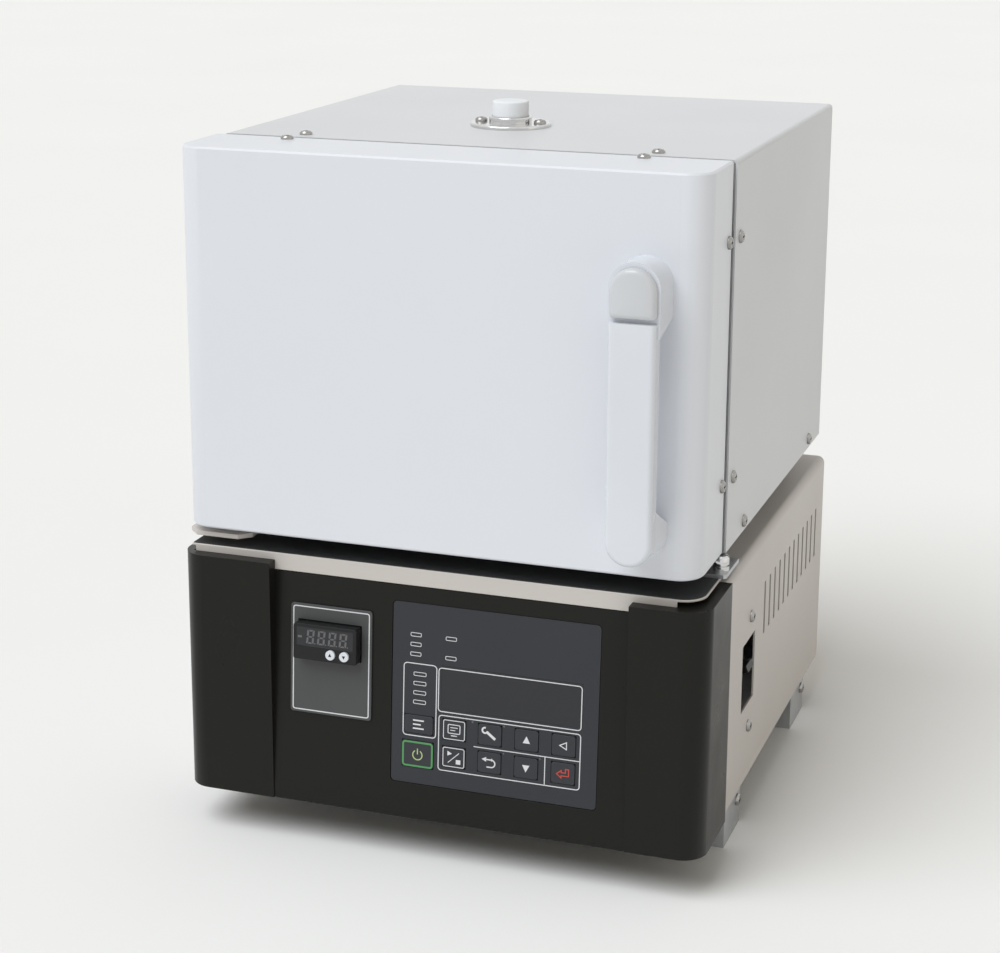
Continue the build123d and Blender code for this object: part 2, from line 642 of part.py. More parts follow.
def make_flange():
    disc = rod((PORT_X, PORT_Y, HOOD_TOP), "+z", FLANGE_D / 2, FLANGE_T)
    disc = fillet(disc.edges().group_by(Axis.Z)[-1], 1.0)
    collar = rod((PORT_X, PORT_Y, HOOD_TOP), "+z", COLLAR_D / 2, FLANGE_T + COLLAR_H)
    collar = fillet(collar.edges().group_by(Axis.Z)[-1], 0.9)
    port = disc + collar
    port -= rod((PORT_X, PORT_Y, HOOD_TOP + TUBE_SINK), "+z", COLLAR_BORE / 2, 20)
    port -= rod((PORT_X, PORT_Y, HOOD_TOP - 1), "+z", TUBE_OUT / 2 + SHEET_FIT, 20)
    return drilled(port, screw_holes(flange_places()))


def make_exhaust_plug():
    seat = HOOD_TOP + TUBE_SINK + REST_GAP
    top = HOOD_TOP + FLANGE_T + PLUG_H
    head = rod((PORT_X, PORT_Y, seat), "+z", PLUG_D / 2, top - seat)
    head = fillet(head.edges().group_by(Axis.Z)[-1], 1.2)
    return head + rod((PORT_X, PORT_Y, seat - PLUG_STEM_L), "+z", PLUG_STEM / 2, PLUG_STEM_L + 1)


def make_upper_hinge():
    arm = block(
        PIVOT_X - UPPER_ARM_W / 2, PIVOT_X + UPPER_ARM_W / 2, PIVOT_Y, HOOD_Y,
        UPPER_PLATE_Z, UPPER_PLATE_Z + PLATE_T,
    )
    arm += rod((PIVOT_X, PIVOT_Y, UPPER_PLATE_Z), "+z", UPPER_ARM_W / 2, PLATE_T)
    root = block(
        PIVOT_X - UPPER_ARM_W / 2, PIVOT_X + UPPER_ARM_W / 2, HOOD_Y - 2.5, HOOD_Y,
        UPPER_PLATE_Z - 2, UPPER_PLATE_Z + PLATE_T,
    )
    arm += root
    return arm - rod((PIVOT_X, PIVOT_Y, UPPER_PLATE_Z - 1), "+z", PIN_D / 2, 5)


def make_lower_hinge():
    top = LOWER_PLATE_Z + PLATE_T
    leaf = block(LOWER_PLATE_L, LOWER_PLATE_R, LOWER_PLATE_Y, HOOD_Y - 1.0, LOWER_PLATE_Z, top)
    front = leaf.edges().filter_by(Axis.Z).sort_by(Axis.Y)[:2]
    leaf = chamfer(front, 7.0)
    tail = block(LOWER_PLATE_L + 8, LOWER_PLATE_R, HOOD_Y - 1.1, HOOD_Y + 40, LOWER_PLATE_Z, top)
    leaf += tail
    lug = block(LOWER_PLATE_L + 8, LOWER_PLATE_R, HOOD_Y + 20, HOOD_Y + 40, top - 0.1, HOOD_Z)
    leaf += lug
    return leaf - rod((PIVOT_X, PIVOT_Y, LOWER_PLATE_Z - 1), "+z", PIN_D / 2, 5)


def make_hinge_pins():
    low = rod((PIVOT_X, PIVOT_Y, LOWER_PLATE_Z), "+z", PIN_D / 2, HOOD_Z + 8 - LOWER_PLATE_Z)
    low += rod((PIVOT_X, PIVOT_Y, LOWER_PLATE_Z + PLATE_T), "+z", PIN_D / 2 + 3, 2.2)
    high = rod((PIVOT_X, PIVOT_Y, UPPER_PLATE_Z), "+z", PIN_D / 2, PLATE_T + PIN_IN)
    return Compound([low, high])


# Rest at the latch side of the door
REST_X = 163.0
REST_Y = HOOD_Y - 3.0
REST_PLATE_Z = 189.5
REST_PLATE_T = 2.5
REST_HEAD_D = 10.0
REST_HEAD_TOP = HOOD_Z - RUN_FIT


def make_rest_bracket():
    plate = block(REST_X - 18, REST_X + 5.5, REST_Y - 10, HOOD_Y + 22, REST_PLATE_Z, REST_PLATE_Z + REST_PLATE_T)
    plate = chamfer(plate.edges().filter_by(Axis.Z).sort_by(Axis.Y)[:2], 1.5)
    plate += block(
        REST_X - 18, REST_X - 6, HOOD_Y + 6, HOOD_Y + 22, CAB_TOP, REST_PLATE_Z + REST_PLATE_T
    )
    return plate - rod((REST_X, REST_Y, REST_PLATE_Z - 1), "+z", 2.5, 6)


def make_rest_pin():
    top = REST_HEAD_TOP
    seat = REST_PLATE_Z + REST_PLATE_T
    pin = rod((REST_X, REST_Y, seat), "+z", REST_HEAD_D / 2, top - seat)
    pin -= rod((REST_X, REST_Y, seat + 3.0), "+z", REST_HEAD_D / 2 + 1, 1.0) - rod(
        (REST_X, REST_Y, seat + 2.0), "+z", REST_HEAD_D / 2 - 1, 3.0
    )
    pin = chamfer(pin.edges().group_by(Axis.Z)[-1], 1.0)
    pin -= block(REST_X - 6, REST_X + 6, REST_Y - 0.6, REST_Y + 0.6, top - 1.6, top + 1)
    return pin + rod((REST_X, REST_Y, REST_PLATE_Z), "+z", 2.5, REST_PLATE_T + 0.5)


RAIL_X = 138.0
RAIL_W = 16.0


def make_base_rails():
    rails = []
    for s in (-1, 1):
        x0 = s * RAIL_X - RAIL_W / 2
        rail = block(x0, x0 + RAIL_W, HOOD_Y + 42, HOOD_BACK - 20, CAB_TOP, HOOD_Z)
        rail -= block(
            x0 + 1.6, x0 + RAIL_W - 1.6, HOOD_Y + 41, HOOD_BACK - 19, CAB_TOP + 1.6, HOOD_Z - 1.6
        )
        rails.append(rail)
    return Compound(rails)


# Control cabinet
SLOTS = 12
SLOT_PITCH = 15.3
SLOT_W = 4.6
SLOT_H = 36.0
SLOT_Y = HOOD_Y + 101.5
SLOT_Z = 133.3
BREAKER_Y = HOOD_Y + 57.0
BREAKER_Z = 104.5
BREAKER_W = 34.0
BREAKER_H = 44.0
BREAKER_FIT = 0.6


def make_cabinet_cover():
    cover = u_cover(CAB_W, CAB_TOP, CAB_Z, CAB_Y, CAB_BACK, CAB_FOLD)
    for s in (-1, 1):
        for i in range(SLOTS):
            y = SLOT_Y + i * SLOT_PITCH
            cover -= block(
                s * CAB_W / 2 - 4, s * CAB_W / 2 + 4, y - SLOT_W / 2, y + SLOT_W / 2,
                SLOT_Z - SLOT_H / 2, SLOT_Z + SLOT_H / 2,
            )
    cover -= block(
        CAB_W / 2 - 4, CAB_W / 2 + 4,
        BREAKER_Y - BREAKER_W / 2 - BREAKER_FIT, BREAKER_Y + BREAKER_W / 2 + BREAKER_FIT,
        BREAKER_Z - BREAKER_H / 2 - BREAKER_FIT, BREAKER_Z + BREAKER_H / 2 + BREAKER_FIT,
    )
    cover -= block(-40, 40, HOOD_Y + 60, HOOD_Y + 120, CAB_TOP - 3, CAB_TOP + 1)
    cover = drilled(cover, screw_holes(cabinet_places))
    cover = drilled(cover, screw_holes(cab_back_places))
    return cover


FOOT_X = 166.0
FOOT_W = 34.0
FOOT_D = 43.0
FOOT_Y = (HOOD_Y + 15.0, HOOD_Y + 219.0)
FOOT_WALL = 2.0


def foot_screw_places():
    places = []
    for s in (-1, 1):
        for y in FOOT_Y:
            places.append(((s * FOOT_X, y + FOOT_D - 9, 19.0), "+x" if s > 0 else "-x"))
    return places


def foot_bolt_places():
    return [((s * (FOOT_X - FOOT_W / 2), y + FOOT_D / 2, CAB_Z + SHEET), "+z") for s in (-1, 1) for y in FOOT_Y]


def make_chassis():
    half = CAB_W / 2 - SHEET - SHEET_FIT
    back = CAB_BACK - SHEET - SHEET_FIT
    pan = block(-half, half, CAB_Y, back, CAB_Z, CAB_Z + 16)
    pan -= block(-half + SHEET, half - SHEET, CAB_Y + SHEET, back - SHEET, CAB_Z + SHEET, CAB_Z + 17)
    for i in range(9):
        x = (i - 4) * 18.0
        for y in (HOOD_Y + 90, HOOD_Y + 130):
            pan -= block(x - 3, x + 3, y - 15, y + 15, CAB_Z - 1, CAB_Z + 3)
    for s in (-1, 1):
        x0 = min(s * half, s * (half - SHEET))
        strap_y = CAB_Y + 14
        top = CAB_TOP - CAB_FOLD - SHEET_FIT
        pan += block(x0, x0 + SHEET, strap_y, CAB_SCREW_Y + 10, CAB_Z, top)
        pan -= block(
            x0 - 1, x0 + SHEET + 1, CAB_SCREW_Y - 36, CAB_SCREW_Y - 10, BREAKER_Z - 32, BREAKER_Z + 32
        )
        pan -= block(x0 - 1, x0 + SHEET + 1, CAB_SCREW_Y - 28, CAB_SCREW_Y + 11, BREAKER_Z - 28, BREAKER_Z + 28)
    pan = drilled(pan, screw_holes(cabinet_places + cab_back_places))
    return drilled(pan, screw_holes(foot_bolt_places()))


def make_cabinet_back():
    panel = block(-CAB_PANEL_HALF, CAB_PANEL_HALF, CAB_BACK, CAB_BACK + SHEET, CAB_PANEL_LOW, CAB_PANEL_HIGH)
    panel = fillet(panel.edges().filter_by(Axis.Y), 3.0)
    panel = drilled(panel, vent_rows(40.0, CAB_BACK, (118.0,), 12, 15.3, 4.6, 36.0))
    panel -= block(
        INLET_X - INLET_BODY_W / 2 - SHEET_FIT, INLET_X + INLET_BODY_W / 2 + SHEET_FIT,
        CAB_BACK - 1, CAB_BACK + 3,
        INLET_Z - INLET_BODY_H / 2 - SHEET_FIT, INLET_Z + INLET_BODY_H / 2 + SHEET_FIT,
    )
    panel = drilled(panel, screw_holes(inlet_places()))
    return drilled(panel, screw_holes(cab_back_places))


INLET_X = -CAB_W / 2 + 51.0
INLET_Z = 66.0
INLET_W = 50.0
INLET_H = 27.0
INLET_PITCH = 40.0
INLET_BODY_W = 28.0
INLET_BODY_H = 20.0
INLET_DEEP = 22.0
INLET_HOLE_W = 24.6
INLET_HOLE_H = 16.6
INLET_HOLE_DEEP = 17.0


def inlet_places():
    y = CAB_BACK + SHEET + INLET_PROUD
    return [((INLET_X + s * INLET_PITCH / 2, y, INLET_Z), "+y") for s in (-1, 1)]


def make_inlet():
    back = CAB_BACK + SHEET
    face = back + INLET_PROUD
    plate = block(
        INLET_X - INLET_W / 2, INLET_X + INLET_W / 2, back, face, INLET_Z - INLET_H / 2, INLET_Z + INLET_H / 2
    )
    plate = fillet(plate.edges().filter_by(Axis.Y), 9.0)
    body = block(
        INLET_X - INLET_BODY_W / 2, INLET_X + INLET_BODY_W / 2, back - INLET_DEEP, back + 0.1,
        INLET_Z - INLET_BODY_H / 2, INLET_Z + INLET_BODY_H / 2,
    )
    hole = block(
        INLET_X - INLET_HOLE_W / 2, INLET_X + INLET_HOLE_W / 2, face - INLET_HOLE_DEEP, face + 1,
        INLET_Z - INLET_HOLE_H / 2, INLET_Z + INLET_HOLE_H / 2,
    )
    hole = chamfer(hole.edges().filter_by(Axis.Y).sort_by(Axis.Z)[-2:], 4.0)
    inlet = plate + body - hole
    inlet = drilled(inlet, screw_holes(inlet_places()))
    floor = face - INLET_HOLE_DEEP
    for dx, dz in ((-7.0, -2.0), (7.0, -2.0), (0.0, 2.2)):
        x = INLET_X + dx
        z = INLET_Z + dz
        inlet += block(x - 1, x + 1, floor - 0.5, floor + 13, z - 2, z + 2)
    return inlet


def make_feet():
    feet = []
    for s in (-1, 1):
        for y in FOOT_Y:
            x0 = min(s * FOOT_X, s * (FOOT_X - FOOT_W))
            foot = block(x0, x0 + FOOT_W, y, y + FOOT_D, 0, CAB_Z)
            inner = block(
                x0 + FOOT_WALL, x0 + FOOT_W - FOOT_WALL, y + FOOT_WALL, y + FOOT_D + 1,
                FOOT_WALL, CAB_Z - FOOT_WALL,
            )
            foot -= inner
            foot = drilled(foot, screw_holes(foot_screw_places()))
            foot = drilled(foot, screw_holes(foot_bolt_places()))
            feet.append(foot)
    return Compound(feet)


# Sill below the door
SILL_L = -166.0
SILL_R = 165.0
SILL_Y = HOOD_Y - 58.0
SILL_TOP = 189.5
SILL_T = 1.5
SILL_R_CORNER = 15.0
SILL_FLANGE = 11.0
MAT_T = 0.5
MAT_INSET = 0.8
FASCIA_TOP = 185.0


def sill_outline(inset, back):
    left = SILL_L + inset
    right = SILL_R - inset
    front = SILL_Y + inset
    plan = Pos((left + right) / 2, (front + back) / 2, 0) * Rectangle(right - left, back - front)
    corner = plan.vertices().sort_by(Axis.Y)[:2].sort_by(Axis.X)[-1:]
    return fillet(corner, SILL_R_CORNER - inset)


def make_sill():
    back = HOOD_Y - 2.0
    plate = Pos(0, 0, SILL_TOP - SILL_T) * extrude(sill_outline(0.0, back), SILL_T)
    y0 = SILL_Y
    left = SILL_L + 2.5
    right = SILL_R - SILL_R_CORNER
    low = SILL_TOP - SILL_FLANGE
    flange = block(left, right, y0, y0 + SILL_T, low, SILL_TOP - 0.1)
    flange = chamfer(flange.edges().filter_by(Axis.Y).sort_by(Axis.Z)[:2], 3.5)
    legs = block(-CAB_W / 2 + 19, -CAB_W / 2 + 41, back - 14, back, FASCIA_TOP, SILL_TOP)
    legs += block(CAB_W / 2 - 41, CAB_W / 2 - 27, back - 14, back, FASCIA_TOP, SILL_TOP)
    return plate + flange + legs


def make_mat():
    plan = sill_outline(MAT_INSET, HOOD_Y - 3.0)
    mat = Pos(0, 0, SILL_TOP) * extrude(plan, MAT_T)
    return mat - rest_room()


def rest_room():
    return block(
        REST_X - 19, REST_X + 6, REST_Y - 11, HOOD_Y, REST_PLATE_Z - 4, REST_PLATE_Z + REST_PLATE_T
    )


# Fascia
FASCIA_HALF = 171.0
FASCIA_LOW = 28.0
FASCIA_FRONT = HOOD_Y - 67.0
FASCIA_BACK = CAB_Y
FASCIA_R = 16.0
FASCIA_WALL = 3.0
PANEL_L = -108.7
PANEL_R = 123.0
PANEL_DEEP = 10.0
PANEL_SHALLOW = 1.0
CREASE_Z = 37.5
TILT = math.degrees(math.atan2(PANEL_DEEP - PANEL_SHALLOW, FASCIA_TOP - CREASE_Z))
STRETCH = 1 / math.cos(math.radians(TILT))

panel_plane = Plane(
    origin=(0, FASCIA_FRONT + PANEL_SHALLOW, CREASE_Z),
    x_dir=(1, 0, 0),
    z_dir=(0, -math.cos(math.radians(TILT)), math.sin(math.radians(TILT))),
)


def on_panel(x0, x1, z0, z1, out0, out1, corner=0.0):
    """Block on the tilted panel: z as seen from the front, out along its normal."""
    v0 = (z0 - CREASE_Z) * STRETCH
    v1 = (z1 - CREASE_Z) * STRETCH
    body = Pos((x0 + x1) / 2, (v0 + v1) / 2, (out0 + out1) / 2) * Box(x1 - x0, v1 - v0, out1 - out0)
    if corner:
        body = fillet(body.edges().filter_by(Axis.Z), corner)
    return panel_plane * body


def round_on_panel(x, z, radius, out0, out1):
    v = (z - CREASE_Z) * STRETCH
    body = Pos(x, v, (out0 + out1) / 2) * Cylinder(radius, out1 - out0)
    return panel_plane * body


def plan_shape(offset):
    wide = 2 * (FASCIA_HALF - offset)
    front = FASCIA_FRONT + offset
    plan = Pos(0, (front + FASCIA_BACK) / 2, 0) * Rectangle(wide, FASCIA_BACK - front)
    return fillet(plan.vertices().sort_by(Axis.Y)[:2], FASCIA_R - offset)


def recess(inset, shift):
    """Wedge in front of the tilted centre panel."""
    front = FASCIA_FRONT - 5
    face = FASCIA_FRONT + shift
    with BuildLine() as line:
        Polyline(
            (front, FASCIA_LOW - 5),
            (face + PANEL_SHALLOW, FASCIA_LOW - 5),
            (face + PANEL_SHALLOW, CREASE_Z),
            (face + PANEL_DEEP, FASCIA_TOP),
            (face + PANEL_DEEP, FASCIA_TOP + 5),
            (front, FASCIA_TOP + 5),
            close=True,
        )
    profile = Plane(origin=(PANEL_L - inset, 0, 0), x_dir=(0, 1, 0), z_dir=(1, 0, 0)) * make_face(line.line)
    return extrude(profile, PANEL_R - PANEL_L + 2 * inset)


# Places on the centre panel
OVER_L = -97.2
OVER_R = -42.6
OVER_LOW = 88.2
OVER_HIGH = 158.9
OVER_T = 1.4
UNIT_L = -92.0
UNIT_R = -49.8
UNIT_LOW = 125.6
UNIT_HIGH = 148.4
UNIT_OUT = 9.5
UNIT_IN = 30.0
WINDOW_T = 0.5
ROUND_KEYS = {"overheat_down_key": -66.8, "overheat_up_key": -57.6}
ROUND_KEY_Z = 130.4
ROUND_KEY_R = 3.1
ROUND_KEY_OUT = 1.2
ROUND_KEY_DEEP = 3.0
MEMBRANE_L = -29.6
MEMBRANE_R = 104.6
MEMBRANE_LOW = 51.0
MEMBRANE_HIGH = 168.0
MEMBRANE_POCKET = 1.6
MEMBRANE_T = 1.2
MEMBRANE_FIT = 0.4
DISPLAY_L = 3.2
DISPLAY_R = 94.2
DISPLAY_LOW = 102.0
DISPLAY_HIGH = 130.0
DISPLAY_T = 0.3
KEY_W = 15.0
KEY_H = 13.2
KEY_OUT = 0.5
KEY_THICK = 1.2
KEY_ROWS = (89.6, 71.9)
KEYS = {
    "key_mode": (-11.3, 90.0, 19.0, 11.6),
    "key_power": (-11.6, 70.6, 20.4, 17.0),
    "key_view": (12.2, KEY_ROWS[0], KEY_W, KEY_H),
    "key_run": (12.2, KEY_ROWS[1], KEY_W, KEY_H),
    "key_menu": (35.5, KEY_ROWS[0], KEY_W, KEY_H),
    "key_escape": (35.5, KEY_ROWS[1], KEY_W, KEY_H),
    "key_up": (59.2, KEY_ROWS[0], KEY_W, KEY_H),
    "key_down": (59.2, KEY_ROWS[1], KEY_W, KEY_H),
    "key_left": (82.9, KEY_ROWS[0], KEY_W, KEY_H),
    "key_enter": (82.9, KEY_ROWS[1], KEY_W, KEY_H),
}
BOARD_OUT = -18.0
BOARD_T = 1.6


def make_fascia():
    body = Pos(0, 0, FASCIA_LOW) * extrude(plan_shape(0), FASCIA_TOP - FASCIA_LOW)
    room = Pos(0, 0, FASCIA_LOW + FASCIA_WALL) * extrude(
        plan_shape(FASCIA_WALL), FASCIA_TOP - FASCIA_LOW - 2 * FASCIA_WALL
    )
    room += block(
        -FASCIA_HALF + FASCIA_WALL, FASCIA_HALF - FASCIA_WALL, FASCIA_BACK - 1, FASCIA_BACK + 1,
        FASCIA_LOW + FASCIA_WALL, FASCIA_TOP - FASCIA_WALL,
    )
    room -= recess(FASCIA_WALL, FASCIA_WALL)
    body = body - room - recess(0.0, 0.0)
    body -= on_panel(
        MEMBRANE_L, MEMBRANE_R, MEMBRANE_LOW, MEMBRANE_HIGH, -MEMBRANE_POCKET, 2.0, 3.0
    )
    body -= on_panel(UNIT_L - 0.6, UNIT_R + 0.6, UNIT_LOW - 0.6, UNIT_HIGH + 0.6, -8.0, 2.0)
    for x, z, wide, tall in KEYS.values():
        body -= on_panel(x - wide / 2 + 3, x + wide / 2 - 3, z - tall / 2 + 3, z + tall / 2 - 3, -8.0, 2.0)
    for x in (MEMBRANE_L + 9, MEMBRANE_R - 9):
        for z in (MEMBRANE_LOW + 6, MEMBRANE_HIGH - 6):
            body += round_on_panel(x, z, 3.5, BOARD_OUT + BOARD_T, -FASCIA_WALL + 0.5)
    slot = FASCIA_TOP + 1
    body -= block(
        SILL_L + 1.5, SILL_R - SILL_R_CORNER + 1, SILL_Y - 0.3, SILL_Y + SILL_T + 0.3,
        SILL_TOP - SILL_FLANGE - 0.5, slot,
    )
    return body


def make_overheat_plate():
    plate = on_panel(OVER_L, OVER_R, OVER_LOW, OVER_HIGH, 0, OVER_T, 2.0)
    return plate - on_panel(UNIT_L - 0.3, UNIT_R + 0.3, UNIT_LOW - 0.3, UNIT_HIGH + 0.3, -2, 4)


def make_overheat_unit():
    unit = on_panel(UNIT_L, UNIT_R, UNIT_LOW, UNIT_HIGH, -UNIT_IN, UNIT_OUT, 1.2)
    unit -= on_panel(
        UNIT_L + 2.2, UNIT_R - 2.2, UNIT_LOW + 8.8, UNIT_HIGH - 2.0, UNIT_OUT - WINDOW_T, UNIT_OUT + 1
    )
    for x in ROUND_KEYS.values():
        unit -= round_on_panel(x, ROUND_KEY_Z, ROUND_KEY_R + KEY_FIT, UNIT_OUT - ROUND_KEY_DEEP - 0.8, UNIT_OUT + 1)
    unit += on_panel(UNIT_L - 2, UNIT_R + 2, UNIT_LOW - 2, UNIT_HIGH + 2, -FASCIA_WALL - 4, -FASCIA_WALL)
    return unit


def make_overheat_window():
    return on_panel(
        UNIT_L + 2.2, UNIT_R - 2.2, UNIT_LOW + 8.8, UNIT_HIGH - 2.0, UNIT_OUT - WINDOW_T, UNIT_OUT - 0.1
    )


def make_round_key(x):
    return round_on_panel(x, ROUND_KEY_Z, ROUND_KEY_R, UNIT_OUT - ROUND_KEY_DEEP, UNIT_OUT + ROUND_KEY_OUT)


def make_membrane():
    fit = MEMBRANE_FIT
    floor = -MEMBRANE_POCKET
    plate = on_panel(
        MEMBRANE_L + fit, MEMBRANE_R - fit, MEMBRANE_LOW + fit, MEMBRANE_HIGH - fit,
        floor, floor + MEMBRANE_T, 2.6,
    )
    plate -= on_panel(
        DISPLAY_L, DISPLAY_R, DISPLAY_LOW, DISPLAY_HIGH, floor + MEMBRANE_T - DISPLAY_T, 2.0
    )
    for x, z, wide, tall in KEYS.values():
        plate -= on_panel(
            x - wide / 2 - KEY_FIT, x + wide / 2 + KEY_FIT, z - tall / 2 - KEY_FIT, z + tall / 2 + KEY_FIT,
            -4.0, 2.0,
        )
    return plate


def make_display():
    top = -MEMBRANE_POCKET + MEMBRANE_T
    return on_panel(
        DISPLAY_L + 0.1, DISPLAY_R - 0.1, DISPLAY_LOW + 0.1, DISPLAY_HIGH - 0.1, top - DISPLAY_T, top
    )


def make_key(x, z, wide, tall):
    base = -MEMBRANE_POCKET
    top = base + MEMBRANE_T + KEY_OUT
    key = on_panel(x - wide / 2, x + wide / 2, z - tall / 2, z + tall / 2, top - KEY_THICK, top, 1.5)
    return key


# Breaker behind the opening in the right side
BREAKER_FACE = CAB_W / 2 - 7.0
BREAKER_DEEP = 56.0
LEVER_R = 7.0
LEVER_W = 16.0
LEVER_OUT = 5.0
LEVER_T = 4.5
LEVER_REST = 22.0


def make_breaker():
    body = block(
        BREAKER_FACE - BREAKER_DEEP, BREAKER_FACE, BREAKER_Y - BREAKER_W / 2 - 1, BREAKER_Y + BREAKER_W / 2 + 1,
        BREAKER_Z - BREAKER_H / 2 - 16, BREAKER_Z + BREAKER_H / 2 + 16,
    )
    step = 12.0
    for s in (-1, 1):
        z0 = BREAKER_Z + s * (BREAKER_H / 2 - 4)
        z1 = BREAKER_Z + s * (BREAKER_H / 2 + 17)
        body -= block(
            BREAKER_FACE - step, BREAKER_FACE + 1, BREAKER_Y - BREAKER_W, BREAKER_Y + BREAKER_W,
            min(z0, z1), max(z0, z1),
        )
    body -= rod((BREAKER_FACE - 3, BREAKER_Y - LEVER_W / 2 - RUN_FIT, BREAKER_Z), "+y", LEVER_R + RUN_FIT, LEVER_W + 2 * RUN_FIT)
    return body


def make_lever():
    drum = rod((BREAKER_FACE - 3, BREAKER_Y - LEVER_W / 2, BREAKER_Z), "+y", LEVER_R, LEVER_W)
    arm = Pos((LEVER_R + LEVER_OUT) / 2, 0, 0) * Box(LEVER_R + LEVER_OUT, LEVER_W, LEVER_T)
    return drum + Pos(BREAKER_FACE - 3, BREAKER_Y, BREAKER_Z) * Rot(0, -LEVER_REST, 0) * arm


RAIL_TOP = BREAKER_Z + 17.5


def make_breaker_rail():
    """Mounting rail with two legs on the bottom pan."""
    x1 = BREAKER_FACE - BREAKER_DEEP
    rail = block(x1 - 2, x1, BREAKER_Y - 40, BREAKER_Y + 34, BREAKER_Z - 17.5, RAIL_TOP)
    for y in (BREAKER_Y - 40, BREAKER_Y + 26):
        rail += block(x1 - 2, x1, y, y + 8, CAB_Z + SHEET, RAIL_TOP)
        rail += block(x1 - 14, x1, y, y + 8, CAB_Z + SHEET, CAB_Z + SHEET + 2)
    return rail


# Electrics on the bottom pan
FLOOR = CAB_Z + SHEET


def make_board():
    back = BOARD_OUT
    board = on_panel(MEMBRANE_L + 4, MEMBRANE_R - 4, MEMBRANE_LOW + 2, MEMBRANE_HIGH - 2, back, back + BOARD_T)
    chips = [(-10, 150, 14, 14, 3), (30, 152, 22, 10, 4), (64, 148, 10, 10, 8), (86, 150, 12, 16, 10)]
    for x, z, wide, tall, high in chips:
        board += on_panel(x - wide / 2, x + wide / 2, z - tall / 2, z + tall / 2, back - high, back + 0.5)
    return board


def make_relay():
    y = HOOD_Y + 190.0
    body = block(32, 90, y - 22, y + 22, FLOOR, FLOOR + 25)
    for x in (40, 82):
        for dy in (-12, 12):
            body += rod((x, y + dy, FLOOR + 24), "+z", 3.5, 3.5)
    return body


# Written nodes
case_places = hood_places + hood_back_places + flange_places()
case_places += cabinet_places + cab_back_places + inlet_places()
case_places += foot_screw_places() + foot_bolt_places()

save(make_door_shell(), "door_shell")
save(make_inner_plate(), "door_inner_plate")
save(make_door_insulation(), "door_insulation")
save(make_door_plug(), "door_plug")
save(make_gasket(), "door_gasket")
save(screw_group(door_rim_places + handle_screw_places()), "door_screws")
save(make_handle(), "handle")
save(make_thumb_button(), "thumb_button")
save(make_tongue(), "latch_tongue")
save(make_door_bushes(), "door_bushes")

save(make_hood(), "hood_cover")
save(make_hood_back(), "hood_back")
save(make_front_frame(), "front_frame")
save(make_strike(), "latch_strike")
save(make_base(), "furnace_base")
save(make_front_block(), "insulation_front")
save(make_body_block(), "insulation_body")
save(make_muffle(), "muffle")
save(make_coils(), "heating_coils")
save(make_thermocouple(), "thermocouple")
save(make_exhaust_tube(), "exhaust_tube")
save(make_flange(), "exhaust_flange")
save(make_exhaust_plug(), "exhaust_plug")
save(make_upper_hinge(), "upper_hinge_plate")
save(make_lower_hinge(), "lower_hinge_plate")
save(make_hinge_pins(), "hinge_pins")
save(make_rest_bracket(), "rest_bracket")
save(make_rest_pin(), "rest_pin")
save(make_base_rails(), "base_rails")
save(screw_group(case_places), "case_screws")

save(make_cabinet_cover(), "cabinet_cover")
save(make_chassis(), "chassis")
save(make_cabinet_back(), "cabinet_back")
save(make_inlet(), "power_inlet")
save(make_feet(), "feet")
save(make_sill(), "sill_plate")
save(make_mat(), "sill_mat")
save(make_fascia(), "fascia")
save(make_overheat_plate(), "overheat_plate")
save(make_overheat_unit(), "overheat_unit")
save(make_overheat_window(), "overheat_window")
for name, x in ROUND_KEYS.items():
    save(make_round_key(x), name)
save(make_membrane(), "control_panel")
save(make_display(), "control_display")
for name, (x, z, wide, tall) in KEYS.items():
    save(make_key(x, z, wide, tall), name)
save(make_breaker(), "breaker")
save(make_lever(), "breaker_lever")
save(make_breaker_rail(), "breaker_rail")
save(make_board(), "control_board")
save(make_relay(), "relay")
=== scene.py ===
import math

import bmesh
import bpy
from mathutils import Matrix, Vector


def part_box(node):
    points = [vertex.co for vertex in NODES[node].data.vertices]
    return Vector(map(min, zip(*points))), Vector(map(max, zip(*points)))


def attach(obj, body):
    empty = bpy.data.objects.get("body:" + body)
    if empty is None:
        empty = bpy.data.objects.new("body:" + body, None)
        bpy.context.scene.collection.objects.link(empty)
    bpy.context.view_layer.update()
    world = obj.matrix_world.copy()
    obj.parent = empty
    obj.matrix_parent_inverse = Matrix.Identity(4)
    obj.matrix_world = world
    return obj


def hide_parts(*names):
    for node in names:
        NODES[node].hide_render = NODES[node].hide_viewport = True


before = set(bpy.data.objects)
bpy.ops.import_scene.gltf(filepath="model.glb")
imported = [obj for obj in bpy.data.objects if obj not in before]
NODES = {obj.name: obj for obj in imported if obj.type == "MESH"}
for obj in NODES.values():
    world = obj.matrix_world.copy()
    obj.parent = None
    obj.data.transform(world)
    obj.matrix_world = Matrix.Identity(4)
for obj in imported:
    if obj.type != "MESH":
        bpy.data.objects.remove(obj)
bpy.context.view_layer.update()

# Sizes that the pieces made here share with the solids, in millimetres
MM = 0.001
HOOD_Y = -103.45
DOOR_GAP = 4.0
DOOR_THICK = 58.0
DOOR_FRONT = HOOD_Y - DOOR_GAP - DOOR_THICK
HANDLE_X = 128.5
FASCIA_FRONT = HOOD_Y - 67.0
FASCIA_TOP = 185.0
CREASE_Z = 37.5
PANEL_SHALLOW = 1.0
PANEL_DEEP = 10.0
TILT = math.atan2(PANEL_DEEP - PANEL_SHALLOW, FASCIA_TOP - CREASE_Z)


# Shader building


